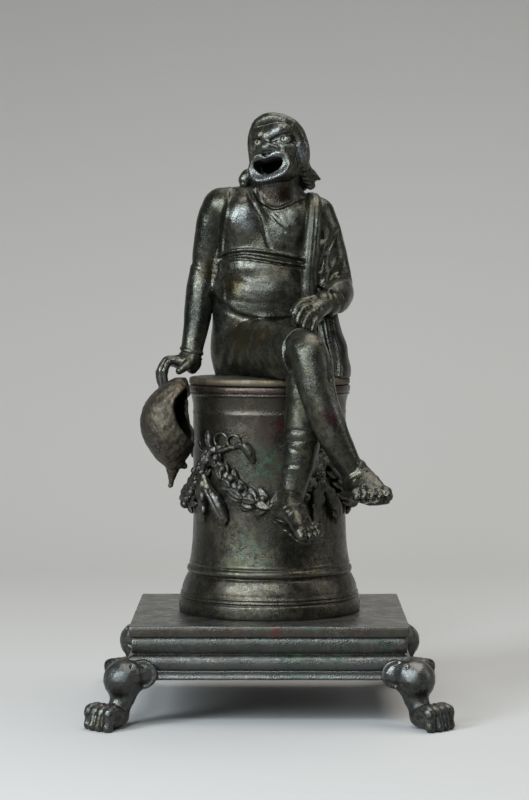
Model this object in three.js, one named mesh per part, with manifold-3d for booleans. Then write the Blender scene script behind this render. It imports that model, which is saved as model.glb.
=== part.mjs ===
// Bronze incense burner. A comic actor in a slave's mask sits cross-legged on the lid of a round,
// garlanded altar, which stands on a moulded plinth with four lion's paws. Incense burns in a pan in
// the altar, and its smoke rises through the lid and the hollow figure and leaves by the mask's mouth.
// Lengths are in millimetres, +Z is up, the figure faces -Y, and the origin is on the table under the
// middle of the altar. The figure's own places are measured from the middle of the lid's top face.
import * as THREE from 'three';
import { mergeVertices } from 'three/addons/utils/BufferGeometryUtils.js';
import Module from 'manifold-3d';

const wasm = await Module();
wasm.setup();

// Gaps and walls shared by all pieces.
const seamGap = 0.3;
const castWall = 2.2;

// Plinth.
const plinthWidth = 105.6;
const plinthDepth = 100;
const plinthHeight = 20.4;
const plinthClearance = 17;
const plinthTopPlate = 2.6;
const plinthSlabEdge = 3.4;
const plinthFasciaInset = 0.9;
const plinthTorusProud = 0.5;
const plinthTop = plinthClearance + plinthHeight;

// Paw feet, each symmetric about the diagonal through its corner of the plinth.
const haunchRadius = 6.8;
const haunchOut = 2.2;
const ankleRadius = 4;
const pawLength = 16.8;
const pawWidth = 14.4;
const pawHeight = 10.4;
const toeRadius = 2.5;
const voluteRadius = 4.4;
const voluteFromCorner = 8.4;
const voluteProud = 2.6;

// Altar drum.
const altarHeight = 89;
const shaftRadius = 30;
const altarFootRadius = 35.7;
const altarFootHeight = 19;
const altarRimRadius = 31.7;
const altarRimHeight = 11;
const altarWall = 2;
const panLedgeDepth = 14;
const panLedgeWidth = 1.6;
const altarTop = plinthTop + altarHeight;
const mouthRadius = altarRimRadius - 3.1;

// Garlands and the ribbon bows that carry them.
const swagHangBelowRim = 30.5;
const swagSag = 16.5;
const swagFromBow = 4.8;
const swagRadius = 3.1;
const bowLoopRadius = 3.6;
const ribbonRadius = 0.75;
const ribbonTail = 22;

// Fire pan, which hangs by its flange in the altar's mouth.
const panFit = 0.5;
const panFlangeThickness = 1.4;
const panDepth = 24;
const panWall = 1.2;

// Lid.
const lidThickness = 2.6;
const lidGap = 0.3;
const collarDepth = 5;
const collarWall = 1.8;
const collarFit = 0.5;
const smokeHoleRadius = 6;
const lidUnderside = altarTop + lidGap;
const lidTop = lidUnderside + lidThickness;

const lidRadius = altarRimRadius - 0.1;

// Figure: heights above the lid's top, and the girths of its body and limbs.
const lapHeight = 15;
const shoulderHeight = 66;
const neckHeight = 72;
const headHeight = 89.5;
const torsoHalfWidth = 19.6;
const torsoHalfDepth = 12.6;
const hipHalfWidth = 22.6;
const hipHalfDepth = 16;
const neckRadius = 8.4;
const flueRadius = 5.2;
const headHalfWidth = 11.8;
const headHalfDepth = 12.6;
const headHalfHeight = 13.4;
const headTurn = -20;
const headNod = -10;
const headTilt = -8;
const maskWall = 1.8;
const mouthBelowMiddle = 10.7;
const mouthHalfWidth = 7.2;
const mouthHalfHeight = 3.9;
const lipRadius = 1.7;
const hairRollRadius = 2.5;
const eyeRadius = 1.25;
const eyeSpacing = 10.6;
const upperArmRadius = 5.8;
const wristRadius = 4.1;
const fingerRadius = 1.35;
const thighRadius = 11;
const kneeRadius = 7.2;
const calfRadius = 6.4;
const footAnkleRadius = 4.8;
const rightShin = 45.6;
const leftShin = 48;
const footWidth = 12.4;
const soleThickness = 1.2;
const toeOfFootRadius = 1.3;
const mantleWidth = 6.8;
const mantleThickness = 3;
const pouchHalfHeight = 17.2;
const pouchHalfWidth = 12.5;
const pouchMouthHeight = 12;
const pouchMouthWidth = 9.5;
const pouchDepth = 18.5;
const pouchWall = 1.4;

// Hanging pieces keep this far from the rim and the garlands, so that the lid lifts straight off.
const liftClearance = 0.8;
const swagReach = shaftRadius + 1.45 * swagRadius;

const V = (x, y, z) => new THREE.Vector3(x, y, z);

// Closed surface through rings of equal count, each counterclockwise as seen from the last ring.
function skin(rings, closedLoop = false) {
  const count = rings[0].length;
  const points = rings.flat();
  const faces = [];
  const steps = closedLoop ? rings.length : rings.length - 1;
  for (let i = 0; i < steps; i++) {
    const here = i * count;
    const next = ((i + 1) % rings.length) * count;
    for (let j = 0; j < count; j++) {
      const k = (j + 1) % count;
      faces.push(here + j, here + k, next + j, here + k, next + k, next + j);
    }
  }
  if (!closedLoop) {
    const centre = (ring) => ring.reduce((sum, p) => sum.add(p), V(0, 0, 0)).divideScalar(count);
    const first = points.push(centre(rings[0])) - 1;
    const last = points.push(centre(rings.at(-1))) - 1;
    const end = (rings.length - 1) * count;
    for (let j = 0; j < count; j++) {
      const k = (j + 1) % count;
      faces.push(first, k, j, last, end + j, end + k);
    }
  }
  const geometry = new THREE.BufferGeometry().setFromPoints(points);
  geometry.setIndex(faces);
  return geometry;
}

// Ring of points on an ellipse with half axes across and deep.
function ellipse(centre, across, deep, sides) {
  return Array.from({ length: sides }, (_, j) => {
    const angle = (2 * Math.PI * j) / sides;
    return centre.clone().addScaledVector(across, Math.cos(angle)).addScaledVector(deep, Math.sin(angle));
  });
}

// Tapered limb through stations [x, y, z, half width, half depth]. Widths lie along the side vector,
// grow swells the whole limb, and round gives each end's dome as a share of its half depth.
function limb(stations, { sides = 12, steps = stations.length, side = V(1, 0, 0), round = [0, 0], grow = 0 } = {}) {
  const path = new THREE.CatmullRomCurve3(stations.map(([x, y, z]) => V(x, y, z)));
  const girth = new THREE.CatmullRomCurve3(stations.map(([, , , a, b = a]) => V(a, b, 0)));
  const rings = [];
  const ringAt = (t, scale, shift) => {
    const along = path.getTangent(t);
    const across = side.clone().addScaledVector(along, -side.dot(along)).normalize();
    const deep = along.clone().cross(across);
    const size = girth.getPoint(t);
    const centre = path.getPoint(t).addScaledVector(along, shift);
    return ellipse(
      centre,
      across.multiplyScalar((size.x + grow) * scale),
      deep.multiplyScalar((size.y + grow) * scale),
      sides,
    );
  };
  const dome = (t, share, sign) => {
    const reach = (girth.getPoint(t).y + grow) * share;
    return [0.45, 0.85].map((part) => ringAt(t, Math.sqrt(1 - part * part), sign * reach * part));
  };
  if (round[0]) rings.push(...dome(0, round[0], -1).reverse());
  for (let i = 0; i < steps; i++) {
    const t = i / (steps - 1);
    const shift = !round[0] && i === 0 ? -grow : !round[1] && i === steps - 1 ? grow : 0;
    rings.push(ringAt(t, 1, shift));
  }
  if (round[1]) rings.push(...dome(1, round[1], 1));
  return skin(rings);
}

// Solid of revolution about Z from a profile [radius, height] that runs up its outside first.
function turned(profile, segments) {
  const points = profile.map(([radius, height]) => new THREE.Vector2(radius, height));
  if (profile[0][0] > 0) points.push(points[0].clone());
  return new THREE.LatheGeometry(points, segments).rotateX(Math.PI / 2);
}

function box(low, high) {
  const size = high.clone().sub(low);
  const middle = low.clone().add(high).multiplyScalar(0.5);
  return new THREE.BoxGeometry(size.x, size.y, size.z).translate(middle.x, middle.y, middle.z);
}

function ball(centre, radii, detail = 1) {
  return new THREE.IcosahedronGeometry(1, detail)
    .scale(radii.x, radii.y, radii.z)
    .translate(centre.x, centre.y, centre.z);
}

// Solid from a closed geometry, ready to be joined and cut.
function solid(geometry) {
  const bare = geometry.clone();
  bare.deleteAttribute('normal');
  bare.deleteAttribute('uv');
  const merged = mergeVertices(bare, 1e-4);
  return new wasm.Manifold(new wasm.Mesh({
    numProp: 3,
    vertProperties: merged.attributes.position.array,
    triVerts: new Uint32Array(merged.index.array),
  }));
}

const joined = (...geometries) => geometries.map(solid).reduce((all, one) => all.add(one));

// The largest body of a solid, without crumbs that a cut leaves.
function largest(made) {
  return made.decompose().reduce((best, one) => (one.volume() > best.volume() ? one : best));
}

function geometryOf(made) {
  const { numProp, vertProperties, triVerts } = made.getMesh();
  const geometry = new THREE.BufferGeometry();
  const positions = new Float32Array((vertProperties.length / numProp) * 3);
  for (let i = 0; i * numProp < vertProperties.length; i++) {
    positions.set(vertProperties.subarray(i * numProp, i * numProp + 3), i * 3);
  }
  geometry.setAttribute('position', new THREE.BufferAttribute(positions, 3));
  geometry.setIndex(new THREE.BufferAttribute(new Uint32Array(triVerts), 1));
  return geometry;
}

const darkBronze = { color: 0x35322c, roughness: 0.42, metalness: 0.85 };
const finishes = {
  base: new THREE.MeshStandardMaterial({ ...darkBronze, color: 0x3a3833 }),
  altar: new THREE.MeshStandardMaterial({ ...darkBronze, color: 0x33302b }),
  relief: new THREE.MeshStandardMaterial({ ...darkBronze, color: 0x3b3a35 }),
  lid: new THREE.MeshStandardMaterial({ ...darkBronze, color: 0x4a4234, roughness: 0.55 }),
  pan: new THREE.MeshStandardMaterial({ ...darkBronze, color: 0x40382c, roughness: 0.7 }),
  figure: new THREE.MeshStandardMaterial({ ...darkBronze, color: 0x3c3b36, roughness: 0.34 }),
  silver: new THREE.MeshStandardMaterial({ color: 0xc9c3ac, roughness: 0.3, metalness: 0.9 }),
};

function piece(name, made, finish) {
  const mesh = new THREE.Mesh(made instanceof THREE.BufferGeometry ? made : geometryOf(made), finishes[finish]);
  mesh.name = name;
  return mesh;
}

// Plinth: a hollow casting, open below, with a plain slab edge, a fascia and a bold lower torus.
function makePlinth() {
  const slabFoot = plinthTop - plinthSlabEdge;
  const torusTop = plinthClearance + 0.49 * plinthHeight;
  const torusFoot = plinthClearance + 0.2 * plinthHeight;
  const outside = [
    [0, plinthTop],
    [0, slabFoot],
    [-plinthFasciaInset, slabFoot - 0.5],
    [-plinthFasciaInset, torusTop + 0.6],
    [-1.7 * plinthFasciaInset, torusTop + 0.3],
    [0, torusTop],
    [plinthTorusProud, (torusTop + torusFoot) / 2],
    [0, torusFoot],
    [-plinthFasciaInset, torusFoot - 0.4],
    [-0.4 * plinthFasciaInset, plinthClearance],
  ];
  const inside = [
    [-castWall, plinthClearance],
    [-castWall - plinthFasciaInset, plinthTop - plinthTopPlate],
  ];
  const ring = ([offset, z]) => {
    const x = plinthWidth / 2 + offset;
    const y = plinthDepth / 2 + offset;
    return [V(x, y, z), V(x, -y, z), V(-x, -y, z), V(-x, y, z)];
  };
  return skin([...outside, ...inside].map(ring));
}

// Paw foot in its own frame: +X points out along the corner's diagonal and the corner is at the origin.
function makeFoot() {
  const ankleHeight = pawHeight + ankleRadius * 0.9;
  const haunchTop = plinthClearance + 0.5 * plinthHeight;
  const across = V(0, 1, 0);
  const leg = limb([
    [haunchOut + 1, 0, pawHeight - 3, ankleRadius, ankleRadius],
    [haunchOut, 0, ankleHeight, ankleRadius, ankleRadius],
    [haunchOut, 0, plinthClearance + 2, haunchRadius, haunchRadius],
    [haunchOut, 0, haunchTop - 2.5, haunchRadius * 0.92, haunchRadius * 0.9],
    [haunchOut, 0, haunchTop, haunchRadius * 0.55, haunchRadius * 0.6],
  ], { sides: 8, steps: 4, side: across });
  const pad = limb([
    [-1, 0, pawHeight * 0.34, pawWidth * 0.34, pawHeight * 0.42],
    [pawLength * 0.4, 0, pawHeight * 0.36, pawWidth * 0.46, pawHeight * 0.46],
    [pawLength - 2 * toeRadius, 0, pawHeight * 0.2, pawWidth * 0.42, pawHeight * 0.34],
  ], { sides: 7, side: across });
  const toeSpacing = (pawWidth - 1.6 * toeRadius) / 3;
  const toes = [-1.5, -0.5, 0.5, 1.5].map((place) => {
    const tip = pawLength - toeRadius - 0.8 * Math.abs(place);
    return limb([
      [pawLength * 0.45, place * toeSpacing * 0.8, pawHeight * 0.62, toeRadius * 0.8, toeRadius * 0.8],
      [tip - toeRadius, place * toeSpacing, pawHeight * 0.52, toeRadius, toeRadius],
      [tip + 0.6 * toeRadius, place * toeSpacing, toeRadius * 0.7, toeRadius * 0.7, toeRadius * 0.7],
    ], { sides: 5, side: across });
  });
  // Each wing runs back along a face of the plinth and ends in a volute.
  const wings = [-1, 1].flatMap((hand) => {
    const along = V(-Math.SQRT1_2, hand * Math.SQRT1_2, 0);
    const proud = V(Math.SQRT1_2, hand * Math.SQRT1_2, 0);
    const height = plinthClearance + 0.19 * plinthHeight;
    const eye = along.clone().multiplyScalar(voluteFromCorner).addScaledVector(proud, voluteProud / 2);
    const root = proud.clone().multiplyScalar(voluteProud * 0.8);
    const disc = new THREE.CylinderGeometry(voluteRadius, voluteRadius, voluteProud, 8)
      .applyQuaternion(new THREE.Quaternion().setFromUnitVectors(V(0, 1, 0), proud))
      .translate(eye.x, eye.y, height);
    const wing = limb([
      [root.x, root.y, height + 1.6, voluteRadius * 1.05, voluteProud * 0.9],
      [(root.x + eye.x) / 2, (root.y + eye.y) / 2, height + 1.2, voluteRadius, voluteProud * 0.55],
      [eye.x, eye.y, height, voluteRadius * 0.9, voluteProud * 0.42],
    ], { sides: 5, side: V(0, 0, 1) });
    return [disc, wing];
  });
  const reach = 2 * pawLength;
  const floor = solid(box(V(-reach, -reach, -reach), V(reach, reach, 0)));
  return joined(leg, pad, ...toes, ...wings).subtract(floor);
}

function makeFeet() {
  const hold = plinthTorusProud + seamGap;
  const held = solid(box(
    V(-plinthWidth / 2 - hold, -plinthDepth / 2 - hold, plinthClearance - seamGap),
    V(plinthWidth / 2 + hold, plinthDepth / 2 + hold, plinthTop + hold),
  ));
  const foot = makeFoot();
  const corners = [
    ['paw_back_right', 1, 1],
    ['paw_back_left', -1, 1],
    ['paw_front_left', -1, -1],
    ['paw_front_right', 1, -1],
  ];
  return corners.map(([name, sx, sy], turn) => piece(
    name,
    largest(foot.rotate([0, 0, 45 + 90 * turn])
      .translate([(sx * plinthWidth) / 2, (sy * plinthDepth) / 2, 0])
      .subtract(held)),
    'base',
  ));
}

// Altar drum: a tube with a moulded foot and rim, and a ledge inside its mouth for the fire pan.
function makeDrum() {
  const foot = plinthTop;
  const rim = altarTop;
  const ledge = rim - panLedgeDepth;
  const bore = shaftRadius - altarWall - panLedgeWidth;
  return turned([
    [bore, foot],
    [altarFootRadius, foot],
    [altarFootRadius, foot + 0.27 * altarFootHeight],
    [altarFootRadius - 0.7, foot + 0.31 * altarFootHeight],
    [altarFootRadius - 0.7, foot + 0.39 * altarFootHeight],
    [altarFootRadius - 1.4, foot + 0.43 * altarFootHeight],
    [altarFootRadius - 2.1, foot + 0.62 * altarFootHeight],
    [altarFootRadius - 3.7, foot + 0.78 * altarFootHeight],
    [altarFootRadius - 3.3, foot + 0.86 * altarFootHeight],
    [altarFootRadius - 4, foot + 0.95 * altarFootHeight],
    [shaftRadius, foot + 1.9 * altarFootHeight],
    [shaftRadius, rim - altarRimHeight - 0.7],
    [shaftRadius + 0.5, rim - altarRimHeight],
    [shaftRadius + 0.1, rim - altarRimHeight + 0.8],
    [altarRimRadius - 0.9, rim - 0.4 * altarRimHeight],
    [altarRimRadius - 0.3, rim - 0.28 * altarRimHeight],
    [altarRimRadius, rim - 0.2 * altarRimHeight],
    [altarRimRadius, rim],
    [mouthRadius, rim],
    [mouthRadius, ledge],
    [bore, ledge],
  ], 32);
}

// Point on the altar's shaft at an angle from the front, standing proud of it.
function onShaft(angle, height, proud) {
  const radius = shaftRadius + proud;
  return V(radius * Math.sin(angle), -radius * Math.cos(angle), height);
}

const quarter = Math.PI / 2;
const swagTop = altarTop - swagHangBelowRim;
const shaftCutter = () => solid(new THREE.CylinderGeometry(shaftRadius + seamGap, shaftRadius + seamGap, altarHeight, 48)
  .rotateX(Math.PI / 2)
  .translate(0, 0, plinthTop + altarHeight / 2));

// Swag of fruit and leaves that hangs across a quarter of the altar, lumpy along and around.
function makeSwag(middle) {
  const steps = 17;
  const bundle = 4;
  const rings = [];
  for (let i = 0; i < steps; i++) {
    const t = i / (steps - 1);
    const share = 2 * t - 1;
    const angle = middle + share * (quarter / 2 - swagFromBow / shaftRadius);
    const fullness = 0.5 + 0.5 * Math.sqrt(Math.max(0, 1 - share * share));
    const radius = swagRadius * fullness * (i % 2 ? 1.12 : 0.86);
    const centre = onShaft(angle, swagTop - swagSag * (1 - share * share), radius * 0.35);
    const next = onShaft(angle + 0.01, swagTop - swagSag * (1 - (share + 0.014) ** 2), radius * 0.35);
    const along = next.clone().sub(centre).normalize();
    const out = V(Math.sin(angle), -Math.cos(angle), 0);
    const across = along.clone().cross(out).normalize();
    const deep = along.clone().cross(across);
    rings.push(Array.from({ length: 2 * bundle }, (_, j) => {
      const turn = (Math.PI * j) / bundle;
      const lump = radius * ((i + j) % 2 ? 1.08 : 0.9);
      return centre.clone()
        .addScaledVector(across, lump * 1.15 * Math.cos(turn))
        .addScaledVector(deep, lump * Math.sin(turn));
    }));
  }
  return skin(rings);
}

// Bow of ribbon at a corner of the altar: a knot, two loops above the swags' ends, and two tails between them.
function makeBow(middle) {
  const loopDrop = 0.8 * bowLoopRadius + ribbonRadius;
  const height = swagTop + 0.65 * swagRadius + loopDrop + seamGap;
  const proud = seamGap + ribbonRadius * 1.3;
  const place = (sideways, up) => onShaft(middle + sideways / shaftRadius, height + up, proud);
  const outwards = V(Math.sin(middle), -Math.cos(middle), 0);
  const sideways = V(Math.cos(middle), Math.sin(middle), 0);
  const knotRadius = 2.4 * ribbonRadius;
  const knot = ball(onShaft(middle, height, seamGap + knotRadius), V(knotRadius, knotRadius, knotRadius), 0);
  const loops = [-1, 1].map((hand) => {
    const turns = 8;
    const reach = bowLoopRadius * 1.2;
    const middleOfLoop = place(hand * reach, bowLoopRadius * 0.35);
    return skin(Array.from({ length: turns }, (_, i) => {
      const angle = (2 * Math.PI * i) / turns;
      const up = bowLoopRadius * (0.8 * Math.sin(angle) + 0.35 * (1 - Math.cos(angle)));
      const centre = place(hand * reach * (1 - Math.cos(angle)), up);
      const outOfLoop = centre.clone().sub(middleOfLoop).normalize();
      return ellipse(
        centre,
        outOfLoop.multiplyScalar(ribbonRadius),
        outwards.clone().multiplyScalar(hand * ribbonRadius * 1.3),
        4,
      );
    }), true);
  });
  const tailWidth = (swagFromBow - seamGap) / 4;
  const tails = [-1, 1].map((hand) => {
    const stations = [0, 0.35, 0.7, 1].map((t) => {
      const centre = place(hand * tailWidth * (1 + t), -ribbonTail * t);
      return [centre.x, centre.y, centre.z, tailWidth * (0.6 + 0.4 * t), ribbonRadius];
    });
    return limb(stations, { sides: 4, steps: 4, side: sideways });
  });
  return joined(knot, ...loops, ...tails);
}

function makeReliefs() {
  const swags = [['front', 0], ['right', 1], ['back', 2], ['left', 3]].map(([name, turn]) => piece(
    `garland_${name}`,
    largest(solid(makeSwag(turn * quarter)).subtract(shaftCutter())),
    'relief',
  ));
  const bows = [['front_right', 0.5], ['back_right', 1.5], ['back_left', 2.5], ['front_left', 3.5]]
    .map(([name, turn]) => piece(`bow_${name}`, makeBow(turn * quarter), 'relief'));
  return [...swags, ...bows];
}

// Fire pan: a bowl with a flange that sits on the ledge inside the altar's mouth.
function makePan() {
  const ledge = altarTop - panLedgeDepth;
  const flange = mouthRadius - panFit;
  const bowl = shaftRadius - altarWall - panLedgeWidth - panFit;
  const floor = ledge - panDepth;
  return turned([
    [0, floor],
    [0.62 * bowl, floor],
    [0.88 * bowl, floor + 0.22 * panDepth],
    [bowl, floor + 0.6 * panDepth],
    [bowl, ledge],
    [flange, ledge],
    [flange, ledge + panFlangeThickness],
    [bowl - panWall, ledge + panFlangeThickness],
    [bowl - panWall, floor + 0.6 * panDepth],
    [0.88 * bowl - panWall, floor + 0.22 * panDepth + 0.4 * panWall],
    [0.62 * bowl - 0.5 * panWall, floor + panWall],
    [0, floor + panWall],
  ], 28);
}

// Lid: a disc with a rounded edge, a collar that fits in the altar's mouth, and the smoke hole.
function makeLid() {
  const collar = mouthRadius - collarFit;
  return turned([
    [smokeHoleRadius, lidUnderside],
    [collar - collarWall, lidUnderside],
    [collar - collarWall, lidUnderside - collarDepth],
    [collar, lidUnderside - collarDepth],
    [collar, lidUnderside],
    [lidRadius, lidUnderside],
    [lidRadius + 0.1, lidUnderside + 0.5 * lidThickness],
    [lidRadius - 0.2, lidTop - 0.4],
    [lidRadius - 0.8, lidTop],
    [smokeHoleRadius, lidTop],
  ], 32);
}

// Everything below is placed from the middle of the lid's top face.

// Stack of level elliptical sections [height, centre x, centre y, half width, half depth], swollen by grow.
function stack(sections, sides, grow = 0) {
  return skin(sections.map(([z, x, y, a, b], i) => {
    const shift = i === 0 ? -grow : i === sections.length - 1 ? grow : 0;
    return ellipse(V(x, y, z + shift), V(a + grow, 0, 0), V(0, b + grow, 0), sides);
  }));
}

// Upright cylinder about the altar's axis, between two heights.
function post(radius, low, high, segments = 40) {
  return solid(new THREE.CylinderGeometry(radius, radius, high - low, segments)
    .rotateX(Math.PI / 2)
    .translate(0, 0, (low + high) / 2));
}

// The lid's room, and the way that the rim and the garlands sweep as the lid lifts off.
const lidRoom = post(lidRadius + seamGap + 0.1, -lidThickness - seamGap, seamGap);
const upperWay = post(Math.max(altarRimRadius, shaftRadius + 0.5) + liftClearance, -altarHeight, -lidThickness);
const lowerWay = (extra = 0) => post(
  swagReach + liftClearance + extra,
  -altarHeight,
  swagTop + 1.6 * swagRadius - lidTop + extra,
);
const liftWay = upperWay.add(lowerWay());

// Body of the tunic with the neck, from the lap up.
const trunkUp = (share) => lapHeight + share * (shoulderHeight - lapHeight);
function trunkShape(grow = 0) {
  const w = torsoHalfWidth;
  const d = torsoHalfDepth;
  return solid(stack([
    [lapHeight, -1, 0.5, 1.05 * w, 1.07 * d],
    [trunkUp(0.12), -1.2, -0.5, 1.07 * w, 1.16 * d],
    [trunkUp(0.27), -1.5, -0.8, 1.04 * w, 1.17 * d],
    [trunkUp(0.42), -1.6, -0.5, w, 1.13 * d],
    [trunkUp(0.55), -1.2, 0.2, 0.96 * w, 1.02 * d],
    [trunkUp(0.61), -1, 0.2, 0.99 * w, 1.06 * d],
    [trunkUp(0.67), -1, 0.4, 0.96 * w, 0.98 * d],
    [trunkUp(0.8), -0.6, 0.8, 0.99 * w, 0.97 * d],
    [trunkUp(0.92), -0.6, 1.2, 1.02 * w, 0.9 * d],
    [trunkUp(1.01), -1, 1.8, 1.01 * w, 0.82 * d],
    [neckHeight - 1.5, -1.6, 1.8, 0.93 * w, 0.72 * d],
    [neckHeight + 1, -2.4, 1.8, 0.79 * w, 0.62 * d],
    [neckHeight + 3, 3, 1, 1.12 * neckRadius, 1.08 * neckRadius],
    [headHeight - 0.78 * headHalfHeight, 3.7, -0.6, 1.02 * neckRadius, neckRadius],
  ], 18, grow));
}

// Flue for the smoke, from the hole in the lid up to the hollow of the mask.
const flue = solid(limb([
  [0, 0, -1, flueRadius],
  [0, 0.5, lapHeight, flueRadius],
  [0, 1, trunkUp(0.7), flueRadius],
  [3, 0.8, neckHeight, flueRadius],
  [3.7, -1.2, headHeight, flueRadius],
], { sides: 8, steps: 6 }));

const underLap = solid(box(V(-altarHeight, -altarHeight, -altarHeight), V(altarHeight, altarHeight, 0)));
const seatEdge = -lidRadius;
const rightHem = V(12.5, seatEdge - 9.4, 12.6);
const leftHem = V(13, seatEdge - 5.4, 6.6);

// Lap of the tunic: hips and both clothed thighs, the right one laid over the left.
function lapShape(grow = 0) {
  const hips = stack([
    [grow, -0.5, 2, 0.91 * hipHalfWidth, 0.94 * hipHalfDepth],
    [0.4 * lapHeight, -0.5, 1.6, hipHalfWidth, 1.03 * hipHalfDepth],
    [0.85 * lapHeight, -0.6, 1.2, 1.01 * hipHalfWidth, hipHalfDepth],
    [lapHeight, -0.8, 0.9, 0.99 * hipHalfWidth, 0.96 * hipHalfDepth],
  ], 18, grow);
  const across = V(1, 0.5, 0);
  const rightThigh = limb([
    [-9, -2, 0.85 * lapHeight, 1.04 * thighRadius],
    [-5, -10, 0.87 * lapHeight, thighRadius],
    [-1, -18, 13, 0.95 * thighRadius],
    [8, -34, 12.8, 0.79 * thighRadius],
    [rightHem.x, rightHem.y, rightHem.z, kneeRadius + 0.9],
  ], { sides: 12, steps: 6, side: across, grow });
  const leftThigh = limb([
    [10, 0, 9.8, 0.86 * thighRadius],
    [12, -20, 8.6, 0.74 * thighRadius],
    [leftHem.x, leftHem.y, leftHem.z, kneeRadius],
  ], { sides: 10, steps: 4, grow });
  const apron = limb([
    [-9, -4, 6.6, 0.95 * thighRadius, 6.4],
    [0, -20, 6.4, 0.9 * thighRadius, 6.2],
    [7, -30.5, 6, 0.73 * thighRadius, 5.2],
  ], { sides: 8, steps: 3, side: across, grow });
  const cloth = joined(hips, rightThigh, leftThigh, apron);
  return grow ? cloth : cloth.subtract(underLap);
}

// Mask with its hair, in its own frame: the face looks along -Y and the origin is in the head's middle.
const headSections = (grow, sides) => stack([
  [-0.93, 0.8, 0.88, 0.84],
  [-0.67, 0, 0.95, 0.94],
  [-0.3, 0, 0.98, 0.98],
  [0.07, 0.2, 1, 1],
  [0.45, 0.4, 0.97, 0.97],
  [0.75, 0.8, 0.81, 0.84],
  [0.96, 1, 0.56, 0.62],
  [1.06, 1.2, 0.25, 0.32],
].map(([z, y, a, b]) => [z * headHalfHeight, 0, y, a * headHalfWidth, b * headHalfDepth]), sides, grow);

const mouthHeight = -mouthBelowMiddle;
const faceFront = -headHalfDepth;
const eyePlace = (hand) => V((hand * eyeSpacing) / 2, faceFront + 1.5, 0.01 * headHalfHeight);
const toHead = (made) => made.rotate([0, headTilt, 0])
  .rotate([headNod, 0, 0])
  .rotate([0, 0, headTurn])
  .translate([3.7, -2.5, headHeight]);

function maskShape() {
  const w = headHalfWidth;
  const h = headHalfHeight;
  const mouthRing = (halfWidth, halfHeight, y) => ellipse(V(0, y, mouthHeight), V(halfWidth, 0, 0), V(0, 0, halfHeight), 10);
  const lip = skin(Array.from({ length: 12 }, (_, i) => {
    const angle = (2 * Math.PI * i) / 12;
    const out = V(Math.cos(angle), 0, Math.sin(angle));
    const centre = V(mouthHalfWidth * out.x, faceFront + 0.5, mouthHeight + mouthHalfHeight * out.z);
    return ellipse(centre, out.multiplyScalar(lipRadius), V(0, lipRadius, 0), 5);
  }), true);
  const hole = skin([
    mouthRing(mouthHalfWidth - 0.5 * lipRadius, mouthHalfHeight - 0.5 * lipRadius, faceFront - 3 * lipRadius),
    mouthRing(mouthHalfWidth - lipRadius, mouthHalfHeight - 0.8 * lipRadius, faceFront + 3 * maskWall),
  ].map((ring) => ring.reverse()));
  const roll = limb([
    [-0.97 * w, -0.24 * w, -0.82 * h],
    [-w, -0.58 * w, 0],
    [-0.68 * w, -0.87 * w, 0.63 * h],
    [0, -1.02 * w, 0.78 * h],
    [0.68 * w, -0.87 * w, 0.63 * h],
    [w, -0.58 * w, 0],
    [0.97 * w, -0.24 * w, -0.82 * h],
  ].map((place) => [...place, hairRollRadius]), { sides: 6, steps: 9, side: V(0, 1, 0) });
  const locks = [-1, 1].map((hand) => limb([
    [hand * 0.93 * w, 0, -0.5 * h, hairRollRadius],
    [hand * 1.08 * w, 0.5, -0.8 * h, 1.15 * hairRollRadius],
    [hand * 1.3 * w, 1, -0.95 * h, 0.6 * hairRollRadius],
  ], { sides: 5, side: V(0, 1, 0) }));
  const nose = limb([
    [0, faceFront + 0.6, 0.14 * h, 1.1, 1],
    [0, faceFront - 0.6, -0.08 * h, 1.5, 1.4],
    [0, faceFront - 0.8, -0.24 * h, 2.2, 1.4],
  ], { sides: 5 });
  const brows = [-1, 1].map((hand) => limb([
    [hand * 0.66 * w, faceFront + 2.6, 0.28 * h, 1.1],
    [hand * 0.38 * w, faceFront + 0.4, 0.22 * h, 1.1],
    [hand * 0.08 * w, faceFront - 0.2, 0.09 * h, 1],
  ], { sides: 5, side: V(0, 1, 0) }));
  const cheeks = [-1, 1].map((hand) => ball(V(hand * 0.46 * w, faceFront + 3, -0.24 * h), V(3, 2.6, 1.6), 0));
  const eyes = [-1, 1].map((hand) => solid(ball(eyePlace(hand), V(1, 1, 1).multiplyScalar(eyeRadius + seamGap), 0)));
  return toHead(joined(headSections(0, 14), lip, roll, ...locks, nose, ...brows, ...cheeks)
    .subtract(solid(headSections(-maskWall, 10)))
    .subtract(solid(hole))
    .subtract(eyes[0])
    .subtract(eyes[1]));
}

const eyeShape = (hand) => toHead(solid(ball(eyePlace(hand), V(eyeRadius, eyeRadius, eyeRadius), 0)));

// Right arm, in a close sleeve and straight, propped on the lid's edge.
const rightWrist = V(1.4 - lidRadius, -8, 10.5);
function rightArmShape(grow = 0) {
  return solid(limb([
    [-torsoHalfWidth - 1, 1, shoulderHeight - 1, 1.15 * upperArmRadius],
    [-torsoHalfWidth - 3.4, 2.4, trunkUp(0.82), upperArmRadius],
    [-torsoHalfWidth - 7.2, 4, trunkUp(0.45), upperArmRadius],
    [-torsoHalfWidth - 8.6, 0, trunkUp(0.16), 0.93 * upperArmRadius],
    [rightWrist.x, rightWrist.y, rightWrist.z, 1.06 * wristRadius],
  ], { sides: 10, steps: 8, round: [0.7, 0], grow }));
}

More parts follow.
